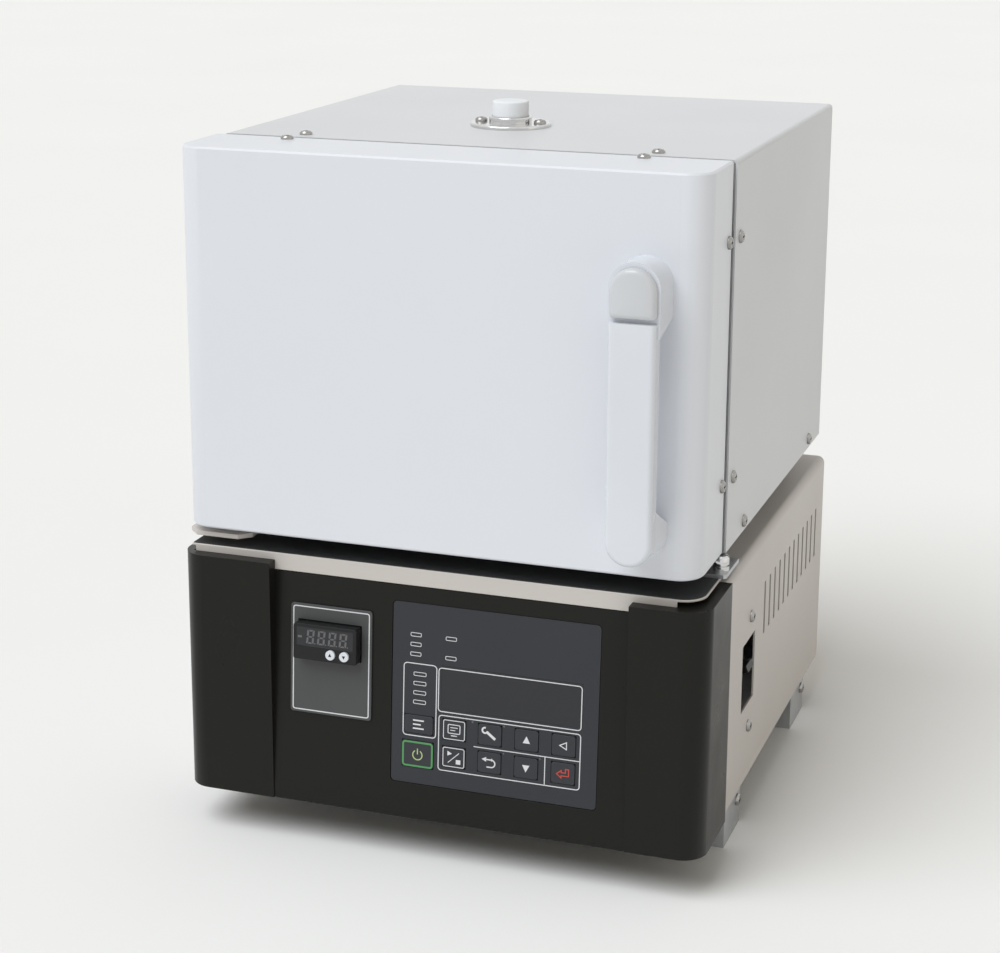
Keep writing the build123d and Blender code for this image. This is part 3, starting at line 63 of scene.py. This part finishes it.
class Shader:
    """A Principled material with a few procedural helpers."""

    def __init__(self, name, color, rough=0.5, metal=0.0, coat=0.0, coat_rough=0.1, spec=None):
        self.mat = bpy.data.materials.new(name)
        self.mat.use_nodes = True
        self.tree = self.mat.node_tree
        self.tree.nodes.clear()
        self.out = self.node("ShaderNodeOutputMaterial")
        self.bsdf = self.node("ShaderNodeBsdfPrincipled")
        self.link(self.bsdf.outputs[0], self.out.inputs["Surface"])
        self.set("Base Color", (*color, 1.0))
        self.set("Roughness", rough)
        self.set("Metallic", metal)
        self.set("Coat Weight", coat)
        self.set("Coat Roughness", coat_rough)
        if spec is not None:
            self.set("Specular IOR Level", spec)
        self.coord = self.node("ShaderNodeTexCoord").outputs["Object"]

    def node(self, kind):
        return self.tree.nodes.new(kind)

    def link(self, a, b):
        self.tree.links.new(a, b)

    def set(self, socket, value):
        self.bsdf.inputs[socket].default_value = value

    def mapped(self, scale):
        n = self.node("ShaderNodeMapping")
        n.inputs["Scale"].default_value = scale
        self.link(self.coord, n.inputs["Vector"])
        return n.outputs[0]

    def noise(self, scale, detail=3.0, rough=0.55, stretch=(1, 1, 1)):
        n = self.node("ShaderNodeTexNoise")
        n.inputs["Scale"].default_value = scale
        n.inputs["Detail"].default_value = detail
        n.inputs["Roughness"].default_value = rough
        self.link(self.mapped(stretch), n.inputs["Vector"])
        return n.outputs["Fac"]

    def spread(self, value, low, high, start=0.3, end=0.7):
        n = self.node("ShaderNodeMapRange")
        n.inputs["From Min"].default_value = start
        n.inputs["From Max"].default_value = end
        n.inputs["To Min"].default_value = low
        n.inputs["To Max"].default_value = high
        self.link(value, n.inputs["Value"])
        return n.outputs["Result"]

    def tint(self, value, other, start=0.3, end=0.7, amount=1.0):
        """Blends the base colour towards another where the value is high."""
        mix = self.node("ShaderNodeMix")
        mix.data_type = "RGBA"
        current = self.bsdf.inputs["Base Color"]
        if current.is_linked:
            self.link(current.links[0].from_socket, mix.inputs[6])
        else:
            mix.inputs[6].default_value = current.default_value
        mix.inputs[7].default_value = (*other, 1.0)
        self.link(self.spread(value, 0.0, amount, start, end), mix.inputs[0])
        self.link(mix.outputs[2], current)
        return self

    def vary_rough(self, value, low, high):
        self.link(self.spread(value, low, high), self.bsdf.inputs["Roughness"])
        return self

    def bump(self, value, strength, distance):
        n = self.node("ShaderNodeBump")
        n.inputs["Strength"].default_value = strength
        n.inputs["Distance"].default_value = distance
        self.link(value, n.inputs["Height"])
        current = self.bsdf.inputs["Normal"]
        if current.is_linked:
            self.link(current.links[0].from_socket, n.inputs["Normal"])
        self.link(n.outputs[0], current)
        return self


def scaled(color, by):
    return tuple(c * by for c in color)


def paint(name, color, rough=0.4, peel=0.05):
    s = Shader(name, color, rough)
    s.tint(s.noise(3.0, 4.0), scaled(color, 0.965), 0.35, 0.75)
    s.vary_rough(s.noise(7.0, 3.0), rough - 0.04, rough + 0.05)
    s.bump(s.noise(900.0, 2.0), peel, 0.0004)
    return s.mat


def moulded(name, color, rough=0.35, grain=0.04, coat=0.0, spec=None):
    s = Shader(name, color, rough, coat=coat, spec=spec)
    s.tint(s.noise(9.0, 3.0), scaled(color, 0.94), 0.4, 0.75)
    s.vary_rough(s.noise(25.0, 3.0), rough - 0.03, rough + 0.05)
    s.bump(s.noise(1500.0, 2.0), grain, 0.0003)
    return s.mat


def metal(name, color, rough=0.3, stretch=(1, 1, 30), scale=60.0, depth=0.05, shade=0.82):
    s = Shader(name, color, rough, metal=1.0)
    lines = s.noise(scale, 4.0, 0.6, stretch)
    s.tint(lines, scaled(color, shade), 0.3, 0.7)
    s.vary_rough(s.noise(scale * 0.7, 3.0, 0.6, stretch), rough - 0.05, rough + 0.07)
    s.bump(lines, depth, 0.0002)
    return s.mat


def fibre(name, color):
    s = Shader(name, color, 0.95, spec=0.2)
    s.tint(s.noise(160.0, 6.0, 0.7), scaled(color, 0.86), 0.35, 0.7)
    warm = (color[0] * 0.97, color[1] * 0.93, color[2] * 0.86)
    s.tint(s.noise(14.0, 3.0), warm, 0.45, 0.75, 0.6)
    s.bump(s.noise(420.0, 6.0, 0.75), 0.55, 0.0012)
    s.bump(s.noise(60.0, 4.0, 0.6), 0.35, 0.002)
    return s.mat


def fired(name, color):
    s = Shader(name, color, 0.7, spec=0.3)
    s.tint(s.noise(40.0, 5.0), scaled(color, 0.93), 0.4, 0.75)
    s.bump(s.noise(700.0, 4.0, 0.6), 0.18, 0.0006)
    return s.mat


MATS = {
    "white": paint("door_paint", (0.755, 0.775, 0.825), 0.36),
    "hood": paint("hood_paint", (0.67, 0.68, 0.70), 0.42),
    "beige": paint("cabinet_paint", (0.59, 0.553, 0.522), 0.42),
    "handle": moulded("handle_plastic", (0.74, 0.765, 0.82), 0.24, 0.015),
    "cap": moulded("cap_plastic", (0.63, 0.645, 0.675), 0.12, 0.01),
    "black": moulded("fascia_plastic", (0.012, 0.0117, 0.0098), 0.3, 0.05, spec=0.17),
    "unit": moulded("indicator_plastic", (0.010, 0.010, 0.011), 0.22, 0.02, spec=0.3),
    "glass": moulded("display_film", (0.018, 0.019, 0.022), 0.18, 0.0, spec=0.45),
    "plate": moulded("plate_plastic", (0.075, 0.077, 0.078), 0.5, 0.08, spec=0.3),
    "membrane": moulded("membrane_film", (0.024, 0.026, 0.032), 0.45, 0.03, spec=0.4),
    "key": moulded("key_film", (0.028, 0.030, 0.036), 0.42, 0.03, spec=0.4),
    "screw": metal("screw_steel", (0.36, 0.35, 0.335), 0.22, (1, 1, 1), 300.0, 0.02),
    "zinc": metal("zinc_plate", (0.50, 0.51, 0.52), 0.38, (1, 1, 1), 45.0, 0.03),
    "steel": metal("sheet_steel", (0.62, 0.62, 0.615), 0.34, (14, 1, 1), 26.0, 0.02, 0.92),
    "brass": metal("bush_brass", (0.70, 0.52, 0.25), 0.3, (1, 1, 1), 90.0, 0.02),
    "chrome": metal("polished_metal", (0.66, 0.66, 0.655), 0.14, (1, 1, 8), 120.0, 0.01),
    "fibre": fibre("ceramic_fibre", (0.80, 0.77, 0.71)),
    "rope": fibre("seal_rope", (0.74, 0.72, 0.66)),
    "fired": fired("fired_ceramic", (0.80, 0.80, 0.80)),
    "stopper": fired("stopper_ceramic", (0.90, 0.92, 0.95)),
    "mat": moulded("sill_mat_rubber", (0.020, 0.021, 0.022), 0.6, 0.06),
    "board": moulded("circuit_board", (0.02, 0.16, 0.06), 0.4, 0.02),
    "ink_white": moulded("white_ink", (0.72, 0.73, 0.75), 0.5, 0.02),
    "ink_grey": moulded("grey_ink", (0.12, 0.12, 0.125), 0.4, 0.02),
    "ink_green": moulded("green_ink", (0.08, 0.30, 0.10), 0.5, 0.02),
    "ink_lime": moulded("lime_ink", (0.45, 0.56, 0.25), 0.5, 0.02),
    "ink_red": moulded("red_ink", (0.60, 0.06, 0.04), 0.5, 0.02),
}

CAD_MATS = {
    "white": ["door_shell"],
    "hood": ["hood_cover", "hood_back"],
    "beige": ["cabinet_cover", "cabinet_back", "sill_plate", "lower_hinge_plate"],
    "handle": ["handle"],
    "cap": ["thumb_button"],
    "black": ["fascia", "power_inlet", "breaker", "breaker_lever", "relay"],
    "mat": ["sill_mat"],
    "stopper": ["exhaust_plug"],
    "unit": ["overheat_unit"],
    "glass": ["overheat_window", "control_display"],
    "plate": ["overheat_plate"],
    "membrane": ["control_panel"],
    "screw": ["case_screws", "door_screws"],
    "zinc": ["feet", "rest_bracket", "chassis", "furnace_base", "base_rails", "latch_strike",
             "upper_hinge_plate", "breaker_rail"],
    "steel": ["door_inner_plate", "front_frame", "hinge_pins", "latch_tongue", "thermocouple",
              "heating_coils"],
    "brass": ["door_bushes"],
    "board": ["control_board"],
    "chrome": ["exhaust_flange", "rest_pin"],
    "fibre": ["door_insulation", "door_plug", "insulation_front", "insulation_body"],
    "rope": ["door_gasket"],
    "fired": ["muffle", "exhaust_tube"],
}

# Rounding of the nodes' edges, in millimetres. Sheets with many slots have none.
EDGE = {
    "door_shell": 0.9, "hood_cover": 0.5,
    "sill_plate": 0.6, "lower_hinge_plate": 0.5, "fascia": 0.7, "overheat_unit": 0.6,
    "overheat_plate": 0.3, "feet": 0.5, "exhaust_plug": 0.8, "muffle": 0.8, "front_frame": 0.5,
    "door_inner_plate": 0.5, "door_plug": 1.2, "insulation_front": 1.0, "rest_bracket": 0.3,
    "base_rails": 0.4, "furnace_base": 0.4, "power_inlet": 0.4, "breaker": 0.4,
    "breaker_lever": 0.4, "latch_strike": 0.3, "latch_tongue": 0.3, "thumb_button": 0.6,
}
KEY_EDGE = 0.25
ROUND_KEY_EDGE = 0.3
EDGE_STEPS = 3
EDGE_ANGLE = 40
FLAT_ANGLE = 0.4
WELD_REACH = 0.000004


def dress(name, mat, bevel=0.0):
    """Material, welded seams and a small rounding for a CAD node."""
    o = NODES[name]
    o.data.materials.clear()
    o.data.materials.append(mat)
    weld = o.modifiers.new("weld", "WELD")
    weld.merge_threshold = WELD_REACH
    if bevel:
        flat = o.modifiers.new("flat", "DECIMATE")
        flat.decimate_type = "DISSOLVE"
        flat.angle_limit = math.radians(FLAT_ANGLE)
        edge = o.modifiers.new("edge", "BEVEL")
        edge.width = bevel * MM
        edge.segments = EDGE_STEPS
        edge.limit_method = "ANGLE"
        edge.angle_limit = math.radians(EDGE_ANGLE)
        edge.harden_normals = True
        edge.use_clamp_overlap = True
        edge.miter_outer = "MITER_ARC"


for key, names in CAD_MATS.items():
    for n in names:
        dress(n, MATS[key], EDGE.get(n, 0.0))
for n in NODES:
    if n.startswith("key_"):
        dress(n, MATS["key"], KEY_EDGE)
    if n.startswith("overheat_") and n.endswith("_key"):
        dress(n, MATS["handle"], ROUND_KEY_EDGE)


# Mesh helpers


def mesh_piece(name, bm, mat, body, smooth=None):
    """A mesh that rides a body, shaded smooth below the angle if one is given."""
    bmesh.ops.recalc_face_normals(bm, faces=bm.faces)
    mesh = bpy.data.meshes.new(name)
    bm.to_mesh(mesh)
    bm.free()
    mesh.materials.append(mat)
    o = bpy.data.objects.new(name, mesh)
    bpy.context.scene.collection.objects.link(o)
    if smooth is not None:
        for f in mesh.polygons:
            f.use_smooth = True
        mesh.set_sharp_from_angle(angle=math.radians(smooth))
    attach(o, body)
    return o


def band(bm, a, b):
    """Quads between two rings of as many vertices."""
    for i in range(len(a)):
        j = (i + 1) % len(a)
        bm.faces.new((a[i], a[j], b[j], b[i]))


# Printing on the sloping panel. A print is flat shapes of (x, z) in millimetres, on a level that
# is measured square to the panel.

PANEL_N = Vector((0.0, -math.cos(TILT), math.sin(TILT)))
PLATE_LEVEL = 1.4
FILM_LEVEL = -0.4
KEY_LEVEL = 0.1
WINDOW_LEVEL = 9.4
ROUND_KEY_LEVEL = 10.7
INK = 0.05

LINE = 0.6
THIN_LINE = 0.5
BOLD_LINE = 0.7
LAMP_LINE = 0.4
LAMP_HALF_HIGH = 1.1
KEY_AT = {
    "key_view": (12.2, 89.6), "key_run": (12.2, 71.9),
    "key_menu": (35.5, 89.9), "key_escape": (35.5, 71.9),
    "key_up": (59.2, 89.4), "key_down": (59.2, 72.1),
    "key_left": (83.2, 89.6), "key_enter": (82.9, 71.9),
}
ROUND_KEY_Z = 130.4


def on_panel(x, z, out):
    y = FASCIA_FRONT + PANEL_SHALLOW + (z - CREASE_Z) * math.tan(TILT)
    return (Vector((x, y, z)) + PANEL_N * out) * MM


def printed(name, shapes, mat, level, body):
    bm = bmesh.new()
    for shape in shapes:
        top = [bm.verts.new(on_panel(x, z, level + INK)) for x, z in shape]
        low = [bm.verts.new(on_panel(x, z, level - INK)) for x, z in shape]
        bm.faces.new(top)
        for i in range(len(shape)):
            j = (i + 1) % len(shape)
            bm.faces.new((top[i], low[i], low[j], top[j]))
    return mesh_piece(name, bm, mat, body)


def arc(x, z, r, start, end, steps=10):
    turns = [math.radians(start + (end - start) * i / steps) for i in range(steps + 1)]
    return [(x + r * math.cos(t), z + r * math.sin(t)) for t in turns]


def rounded(x0, x1, z0, z1, r):
    points = arc(x1 - r, z1 - r, r, 0, 90, 5)
    points += arc(x0 + r, z1 - r, r, 90, 180, 5)
    points += arc(x0 + r, z0 + r, r, 180, 270, 5)
    points += arc(x1 - r, z0 + r, r, 270, 360, 5)
    return points


def stroke(points, width, closed=False):
    """Quads along a line of even width with mitred joints."""
    pts = [Vector(q) for q in points]
    n = len(pts)
    sides = []
    for i, q in enumerate(pts):
        ways = []
        if closed or i > 0:
            ways.append((q - pts[i - 1]).normalized())
        if closed or i < n - 1:
            ways.append((pts[(i + 1) % n] - q).normalized())
        across = [Vector((-w.y, w.x)) for w in ways]
        mitre = sum(across, Vector((0.0, 0.0))).normalized()
        reach = width / 2 / max(0.35, mitre.dot(across[0]))
        sides.append((q + mitre * reach, q - mitre * reach))
    quads = []
    for i in range(n if closed else n - 1):
        a, b = sides[i], sides[(i + 1) % n]
        quads.append([tuple(a[0]), tuple(b[0]), tuple(b[1]), tuple(a[1])])
    return quads


def frame_line(x0, x1, z0, z1, r, width):
    return stroke(rounded(x0, x1, z0, z1, r), width, True)


def triangle(x, z, r, turn):
    corners = [math.radians(turn + a) for a in (0, 125, 235)]
    return [(x + r * math.cos(a), z + r * math.sin(a)) for a in corners]


def lamp(x, z, half):
    return frame_line(x - half, x + half, z - LAMP_HALF_HIGH, z + LAMP_HALF_HIGH, 0.6, LAMP_LINE)


def make_prints():
    white = MATS["ink_white"]
    lines = frame_line(1.4, 93.4, 100.4, 128.2, 2.0, LINE)
    lines += frame_line(-21.6, 0.0, 82.4, 129.0, 2.2, LINE)
    lines += frame_line(2.0, 93.4, 62.6, 98.0, 2.0, LINE)
    lines += stroke([(25.0, 80.8), (93.4, 80.8)], 0.55)
    lines += stroke([(71.2, 80.8), (71.2, 62.6)], 0.55)
    for x, z in ((-14.0, 147.4), (-14.0, 141.2), (-14.0, 135.0), (9.0, 147.4), (9.0, 135.0)):
        lines += lamp(x, z, 3.4)
    for z in (122.4, 116.4, 110.4, 104.4):
        lines += lamp(-11.0, z, 4.0)
    printed("panel_lines", lines, white, FILM_LEVEL, "furnace")

    dots = [arc(x, 96.4, 0.62, 0, 342, 19) for x in (24.0, 44.5)]
    dots += [arc(x, 79.0, 0.5, 0, 342, 19) for x in (44.5, 68.0)]
    printed("panel_dots", dots, MATS["ink_grey"], FILM_LEVEL, "furnace")

    plate = frame_line(-95.4, -44.4, 90.0, 157.1, 1.4, BOLD_LINE)
    printed("plate_line", plate, white, PLATE_LEVEL, "furnace")


def key_print(node, shapes, ink="ink_white"):
    printed(f"{node}_mark", shapes, MATS[ink], KEY_LEVEL, f"{node}_body")


def key_ring(x, z):
    return frame_line(x - 6.9, x + 6.9, z - 6.0, z + 6.0, 1.0, THIN_LINE)


def make_power_mark():
    key_print("key_power", frame_line(-21.2, -2.0, 62.9, 78.3, 1.6, 1.15), "ink_green")
    sign = stroke(arc(-11.6, 70.2, 3.1, 122, 418, 22), BOLD_LINE)
    sign += stroke([(-11.6, 70.6), (-11.6, 74.4)], BOLD_LINE)
    printed("key_power_sign", sign, MATS["ink_lime"], KEY_LEVEL, "key_power_body")


def make_mode_mark():
    """Three bars, the middle one shorter."""
    ends = ((92.6, -7.7), (90.0, -9.7), (87.4, -7.7))
    key_print("key_mode", [stroke([(-14.9, z), (end, z)], 0.9)[0] for z, end in ends])


def make_view_mark():
    """A screen with two lines of writing and a stand."""
    x, z = KEY_AT["key_view"]
    shapes = key_ring(x, z)
    shapes += frame_line(x - 3.9, x + 3.9, z - 2.2, z + 3.4, 0.7, 0.55)
    shapes += stroke([(x - 2.4, z + 1.5), (x + 2.4, z + 1.5)], THIN_LINE)
    shapes += stroke([(x - 2.4, z - 0.2), (x + 0.8, z - 0.2)], THIN_LINE)
    shapes += stroke([(x - 2.0, z - 3.7), (x + 2.0, z - 3.7)], LINE)
    key_print("key_view", shapes)


def make_run_mark():
    """Start and stop, with a stroke between them."""
    x, z = KEY_AT["key_run"]
    shapes = key_ring(x, z)
    shapes += stroke([(x - 3.6, z - 3.6), (x + 3.6, z + 3.2)], THIN_LINE)
    shapes.append(triangle(x - 2.9, z + 2.4, 1.9, 0))
    shapes.append([(x + 1.6, z - 4.0), (x + 4.6, z - 4.0), (x + 4.6, z - 1.2), (x + 1.6, z - 1.2)])
    key_print("key_run", shapes)


def make_menu_mark():
    """A spanner."""
    x, z = KEY_AT["key_menu"]
    shapes = stroke([(x - 1.7, z + 1.4), (x + 3.6, z - 2.6)], 1.7)
    shapes += stroke(arc(x - 3.1, z + 2.5, 1.75, -10, -285, 14), 1.1)
    key_print("key_menu", shapes)


def make_escape_mark():
    """An arrow that turns back."""
    x, z = KEY_AT["key_escape"]
    bend = arc(x + 1.4, z - 0.4, 2.4, 90, -90, 10)
    line = [(x - 2.4, z + 2.0), (x + 1.4, z + 2.0)] + bend + [(x - 1.6, z - 2.8)]
    key_print("key_escape", stroke(line, 0.8) + [triangle(x - 3.0, z + 2.0, 1.9, 180)])


def make_arrow_marks():
    key_print("key_up", [triangle(*KEY_AT["key_up"], 2.9, 90)])
    key_print("key_down", [triangle(*KEY_AT["key_down"], 2.9, 270)])
    key_print("key_left", stroke(triangle(*KEY_AT["key_left"], 2.7, 180), LINE, True))
    x, z = KEY_AT["key_enter"]
    outline = (
        (-3.9, -0.5), (-1.0, 1.9), (-1.0, 0.5), (1.7, 0.5), (1.7, 2.9),
        (3.7, 2.9), (3.7, -1.5), (-1.0, -1.5), (-1.0, -2.9),
    )
    key_print("key_enter", stroke([(x + a, z + b) for a, b in outline], LINE, True), "ink_red")


def make_round_key_marks():
    for node, turn in (("overheat_down_key", 90), ("overheat_up_key", 270)):
        low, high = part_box(node)
        mark = [triangle((low.x + high.x) / 2 / MM, ROUND_KEY_Z, 1.35, turn)]
        body = f"{node}_body"
        printed(f"{node}_mark", mark, MATS["unit"], ROUND_KEY_LEVEL, body)


# The indicator's digits: one seven-segment digit, leaning by SLANT, repeated with its point
SEGMENTS = {
    "top": [(0.9, 9.0), (4.1, 9.0), (3.3, 8.0), (1.7, 8.0)],
    "mid": [(1.0, 4.5), (1.7, 5.0), (3.3, 5.0), (4.0, 4.5), (3.3, 4.0), (1.7, 4.0)],
    "low": [(1.7, 1.0), (3.3, 1.0), (4.1, 0.0), (0.9, 0.0)],
    "left_high": [(0.0, 8.8), (0.6, 8.8), (1.3, 7.8), (1.3, 5.3), (0.6, 4.8), (0.0, 5.3)],
    "left_low": [(0.0, 3.7), (0.6, 4.2), (1.3, 3.7), (1.3, 1.2), (0.6, 0.2), (0.0, 0.2)],
    "right_high": [(3.7, 7.8), (4.4, 8.8), (5.0, 8.8), (5.0, 5.3), (4.4, 4.8), (3.7, 5.3)],
    "right_low": [(3.7, 3.7), (4.4, 4.2), (5.0, 3.7), (5.0, 0.2), (4.4, 0.2), (3.7, 1.2)],
}


DIGITS = 4
DIGIT_X = -83.4
DIGIT_Z = 136.0
DIGIT_STEP = 7.3
SLANT = 0.10


def make_digits():
    shapes = []
    for i in range(DIGITS):
        left = DIGIT_X + DIGIT_STEP * i
        for shape in SEGMENTS.values():
            shapes.append([(left + x + z * SLANT, DIGIT_Z + z) for x, z in shape])
        shapes.append(arc(left + 5.9, DIGIT_Z + 0.4, 0.45, 0, 324, 9))
    grey = MATS["ink_grey"]
    printed("indicator_digits", shapes, grey, WINDOW_LEVEL, "furnace")
    dash = [rounded(-89.0, -86.2, 139.4, 140.8, 0.4)]
    printed("indicator_lamp", dash, grey, WINDOW_LEVEL, "furnace")


make_prints()
make_power_mark()
make_mode_mark()
make_view_mark()
make_run_mark()
make_menu_mark()
make_escape_mark()
make_arrow_marks()
make_round_key_marks()
make_digits()


# Braided door seal

SEAL_WIDE = 9.0
SEAL_CORNER = 12.0
SEAL_SIDES = 20
SEAL_STEP = 1.1
SEAL_FULLNESS = 0.75
BRAID_PITCH = 1.15
STRANDS = 4


def braid(travel, turn):
    """Share of the rope's radius left where its strands cross."""
    one = 1 + math.sin(travel * BRAID_PITCH + STRANDS * turn)
    two = 1 + math.sin(travel * BRAID_PITCH - STRANDS * turn)
    return 1.0 - 0.07 * one - 0.05 * two


def full(value):
    """A sine or cosine for a section that is fuller than a circle."""
    return math.copysign(abs(value) ** SEAL_FULLNESS, value)


def seal_path(half_wide, half_high):
    """Points along a rounded rectangle, about SEAL_STEP apart."""
    r = SEAL_CORNER
    x, z = half_wide - r, half_high - r
    corners = []
    for px, pz, start in ((x, z, 0), (-x, z, 90), (-x, -z, 180), (x, -z, 270)):
        for i in range(13):
            t = math.radians(start + 90 * i / 12)
            corners.append(Vector((px + r * math.cos(t), pz + r * math.sin(t))))
    path = []
    for i, point in enumerate(corners):
        way = corners[(i + 1) % len(corners)] - point
        steps = max(1, int(way.length / SEAL_STEP))
        path += [point + way * k / steps for k in range(steps)]
    return path


def make_seal():
    low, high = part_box("door_gasket")
    low, high = low / MM, high / MM
    centre = (low + high) / 2
    half_deep = (high.y - low.y) / 2
    path = seal_path((high.x - low.x - SEAL_WIDE) / 2, (high.z - low.z - SEAL_WIDE) / 2)
    bm = bmesh.new()
    rings = []
    travel = 0.0
    for i, point in enumerate(path):
        after = path[(i + 1) % len(path)]
        way = (after - path[i - 1]).normalized()
        out = Vector((way.y, -way.x))
        ring = []
        for k in range(SEAL_SIDES):
            turn = 2 * math.pi * k / SEAL_SIDES
            size = braid(travel, turn)
            spot = point + out * (full(math.cos(turn)) * SEAL_WIDE / 2 * size)
            deep = full(math.sin(turn)) * half_deep * size
            place = Vector((centre.x + spot.x, centre.y + deep, centre.z + spot.y))
            ring.append(bm.verts.new(place * MM))
        rings.append(ring)
        travel += (after - point).length
    for i, ring in enumerate(rings):
        band(bm, ring, rings[(i + 1) % len(rings)])
    o = mesh_piece("door_seal_braid", bm, MATS["rope"], "door", 60)
    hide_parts("door_gasket")


make_seal()


# Crowned thumb cap

CAP_HALF = 13.8
CAP_LOW = 363.3
CAP_HIGH = 392.3
CAP_FRONT = DOOR_FRONT - 33.0
CAP_SEAT = DOOR_FRONT - 26.0 - 0.35
CAP_CROWN = 2.2
CAP_ROUND = 2.8
CAP_CORNER = 2.5
CAP_INSETS = (4.0, 5.5, 7.0, 8.5, 10.0, 11.5, 12.8)


def make_cap():
    mid = (CAP_LOW + CAP_HIGH) / 2
    corner = CAP_HALF - CAP_CORNER
    outline = arc(0.0, CAP_HIGH - CAP_HALF, CAP_HALF, 0, 180, 40)
    outline += arc(-corner, CAP_LOW + CAP_CORNER, CAP_CORNER, 180, 270, 6)
    outline += arc(corner, CAP_LOW + CAP_CORNER, CAP_CORNER, 270, 360, 6)
    # Each ring is (inset of the outline, distance behind the front). The first is on the seat.
    steps = [(0.0, None)]
    for k in range(9):
        turn = math.radians(90 * k / 8)
        steps.append((CAP_ROUND * (1 - math.cos(turn)), CAP_ROUND * (1 - math.sin(turn))))
    steps += [(inset, 0.0) for inset in CAP_INSETS]
    bm = bmesh.new()
    rings = []
    for inset, back in steps:
        scale = 1 - inset / CAP_HALF
        ring = []
        for x, z in outline:
            x, z = x * scale, mid + (z - mid) * scale
            y = CAP_SEAT
            if back is not None:
                y = CAP_FRONT + back + CAP_CROWN * (x / CAP_HALF) ** 2
            ring.append(bm.verts.new(Vector((HANDLE_X + x, y, z)) * MM))
        rings.append(ring)
    for a, b in zip(rings, rings[1:]):
        band(bm, a, b)
    bm.faces.new(rings[0])
    bm.faces.new(rings[-1])
    o = mesh_piece("thumb_cap_cover", bm, MATS["cap"], "thumb_cap", 50)
    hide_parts("thumb_button")


make_cap()


# Stage, light and camera. The camera was fitted to the photograph's 1000 pixels of width.

FLOOR_HALF = 12.0
F_PX = 2203.4
PHOTO_WIDE = 1000.0
SENSOR = 36.0
YAW, PITCH, ROLL = 0.3317, 0.2463, 0.0049
CAM_X = 0.4498
CAM_Y = (HOOD_Y - 1249.1) * MM
CAM_Z = 0.6264
SHIFT_X, SHIFT_Y = -0.0003, -0.0909


def sun(name, way, power, color, angle):
    data = bpy.data.lights.new(name, "SUN")
    data.energy = power
    data.color = color
    data.angle = math.radians(angle)
    lamp_object = bpy.data.objects.new(name, data)
    bpy.context.scene.collection.objects.link(lamp_object)
    lamp_object.location = Vector(way) * 3.0
    lamp_object.rotation_euler = Vector(way).to_track_quat("Z", "Y").to_euler()


def make_floor():
    bm = bmesh.new()
    bmesh.ops.create_grid(bm, x_segments=2, y_segments=2, size=FLOOR_HALF)
    mesh = bpy.data.meshes.new("floor")
    bm.to_mesh(mesh)
    bm.free()
    floor = bpy.data.objects.new("floor", mesh)
    bpy.context.scene.collection.objects.link(floor)
    s = Shader("floor_paper", (0.965, 0.96, 0.95), 0.85)
    s.tint(s.noise(2.0), (0.95, 0.945, 0.935))
    mesh.materials.append(s.mat)


def make_world():
    """Soft light on the object, and white for what the camera and reflections see."""
    world = bpy.data.worlds.new("studio")
    bpy.context.scene.world = world
    world.use_nodes = True
    tree = world.node_tree
    tree.nodes.clear()
    out = tree.nodes.new("ShaderNodeOutputWorld")
    mix = tree.nodes.new("ShaderNodeMixShader")
    tree.links.new(mix.outputs[0], out.inputs["Surface"])
    shades = (((1.0, 0.97, 0.90, 1.0), 0.40), ((1.0, 1.0, 1.0, 1.0), 1.0))
    for i, (color, strength) in enumerate(shades):
        shade = tree.nodes.new("ShaderNodeBackground")
        shade.inputs["Color"].default_value = color
        shade.inputs["Strength"].default_value = strength
        tree.links.new(shade.outputs[0], mix.inputs[i + 1])
    path = tree.nodes.new("ShaderNodeLightPath")
    seen = path.outputs["Is Camera Ray"]
    for ray in ("Is Glossy Ray", "Is Transmission Ray"):
        either = tree.nodes.new("ShaderNodeMath")
        either.operation = "MAXIMUM"
        tree.links.new(seen, either.inputs[0])
        tree.links.new(path.outputs[ray], either.inputs[1])
        seen = either.outputs[0]
    tree.links.new(seen, mix.inputs[0])


def make_camera():
    data = bpy.data.cameras.new("camera")
    camera = bpy.data.objects.new("camera", data)
    bpy.context.scene.collection.objects.link(camera)
    level = math.cos(PITCH)
    forward = Vector((-math.sin(YAW) * level, math.cos(YAW) * level, -math.sin(PITCH)))
    right = Vector((math.cos(YAW), math.sin(YAW), 0.0))
    up = right.cross(forward)
    side = right * math.cos(ROLL) + up * math.sin(ROLL)
    top = up * math.cos(ROLL) - right * math.sin(ROLL)
    camera.matrix_world = Matrix((
        (side.x, top.x, -forward.x, CAM_X),
        (side.y, top.y, -forward.y, CAM_Y),
        (side.z, top.z, -forward.z, CAM_Z),
        (0, 0, 0, 1),
    ))
    data.sensor_width = SENSOR
    data.lens = F_PX / PHOTO_WIDE * SENSOR
    data.shift_x = SHIFT_X
    data.shift_y = SHIFT_Y
    data.dof.use_dof = False
    data.clip_start = 0.05
    data.clip_end = 50.0
    bpy.context.scene.camera = camera


make_floor()
make_world()
sun("key", (-0.29, -0.485, 0.82), 2.05, (0.925, 0.965, 1.0), 45.0)
sun("side", (0.9, -0.2, 0.25), 0.12, (1.0, 0.80, 0.45), 60.0)
make_camera()
bpy.context.scene.view_settings.view_transform = "Standard"
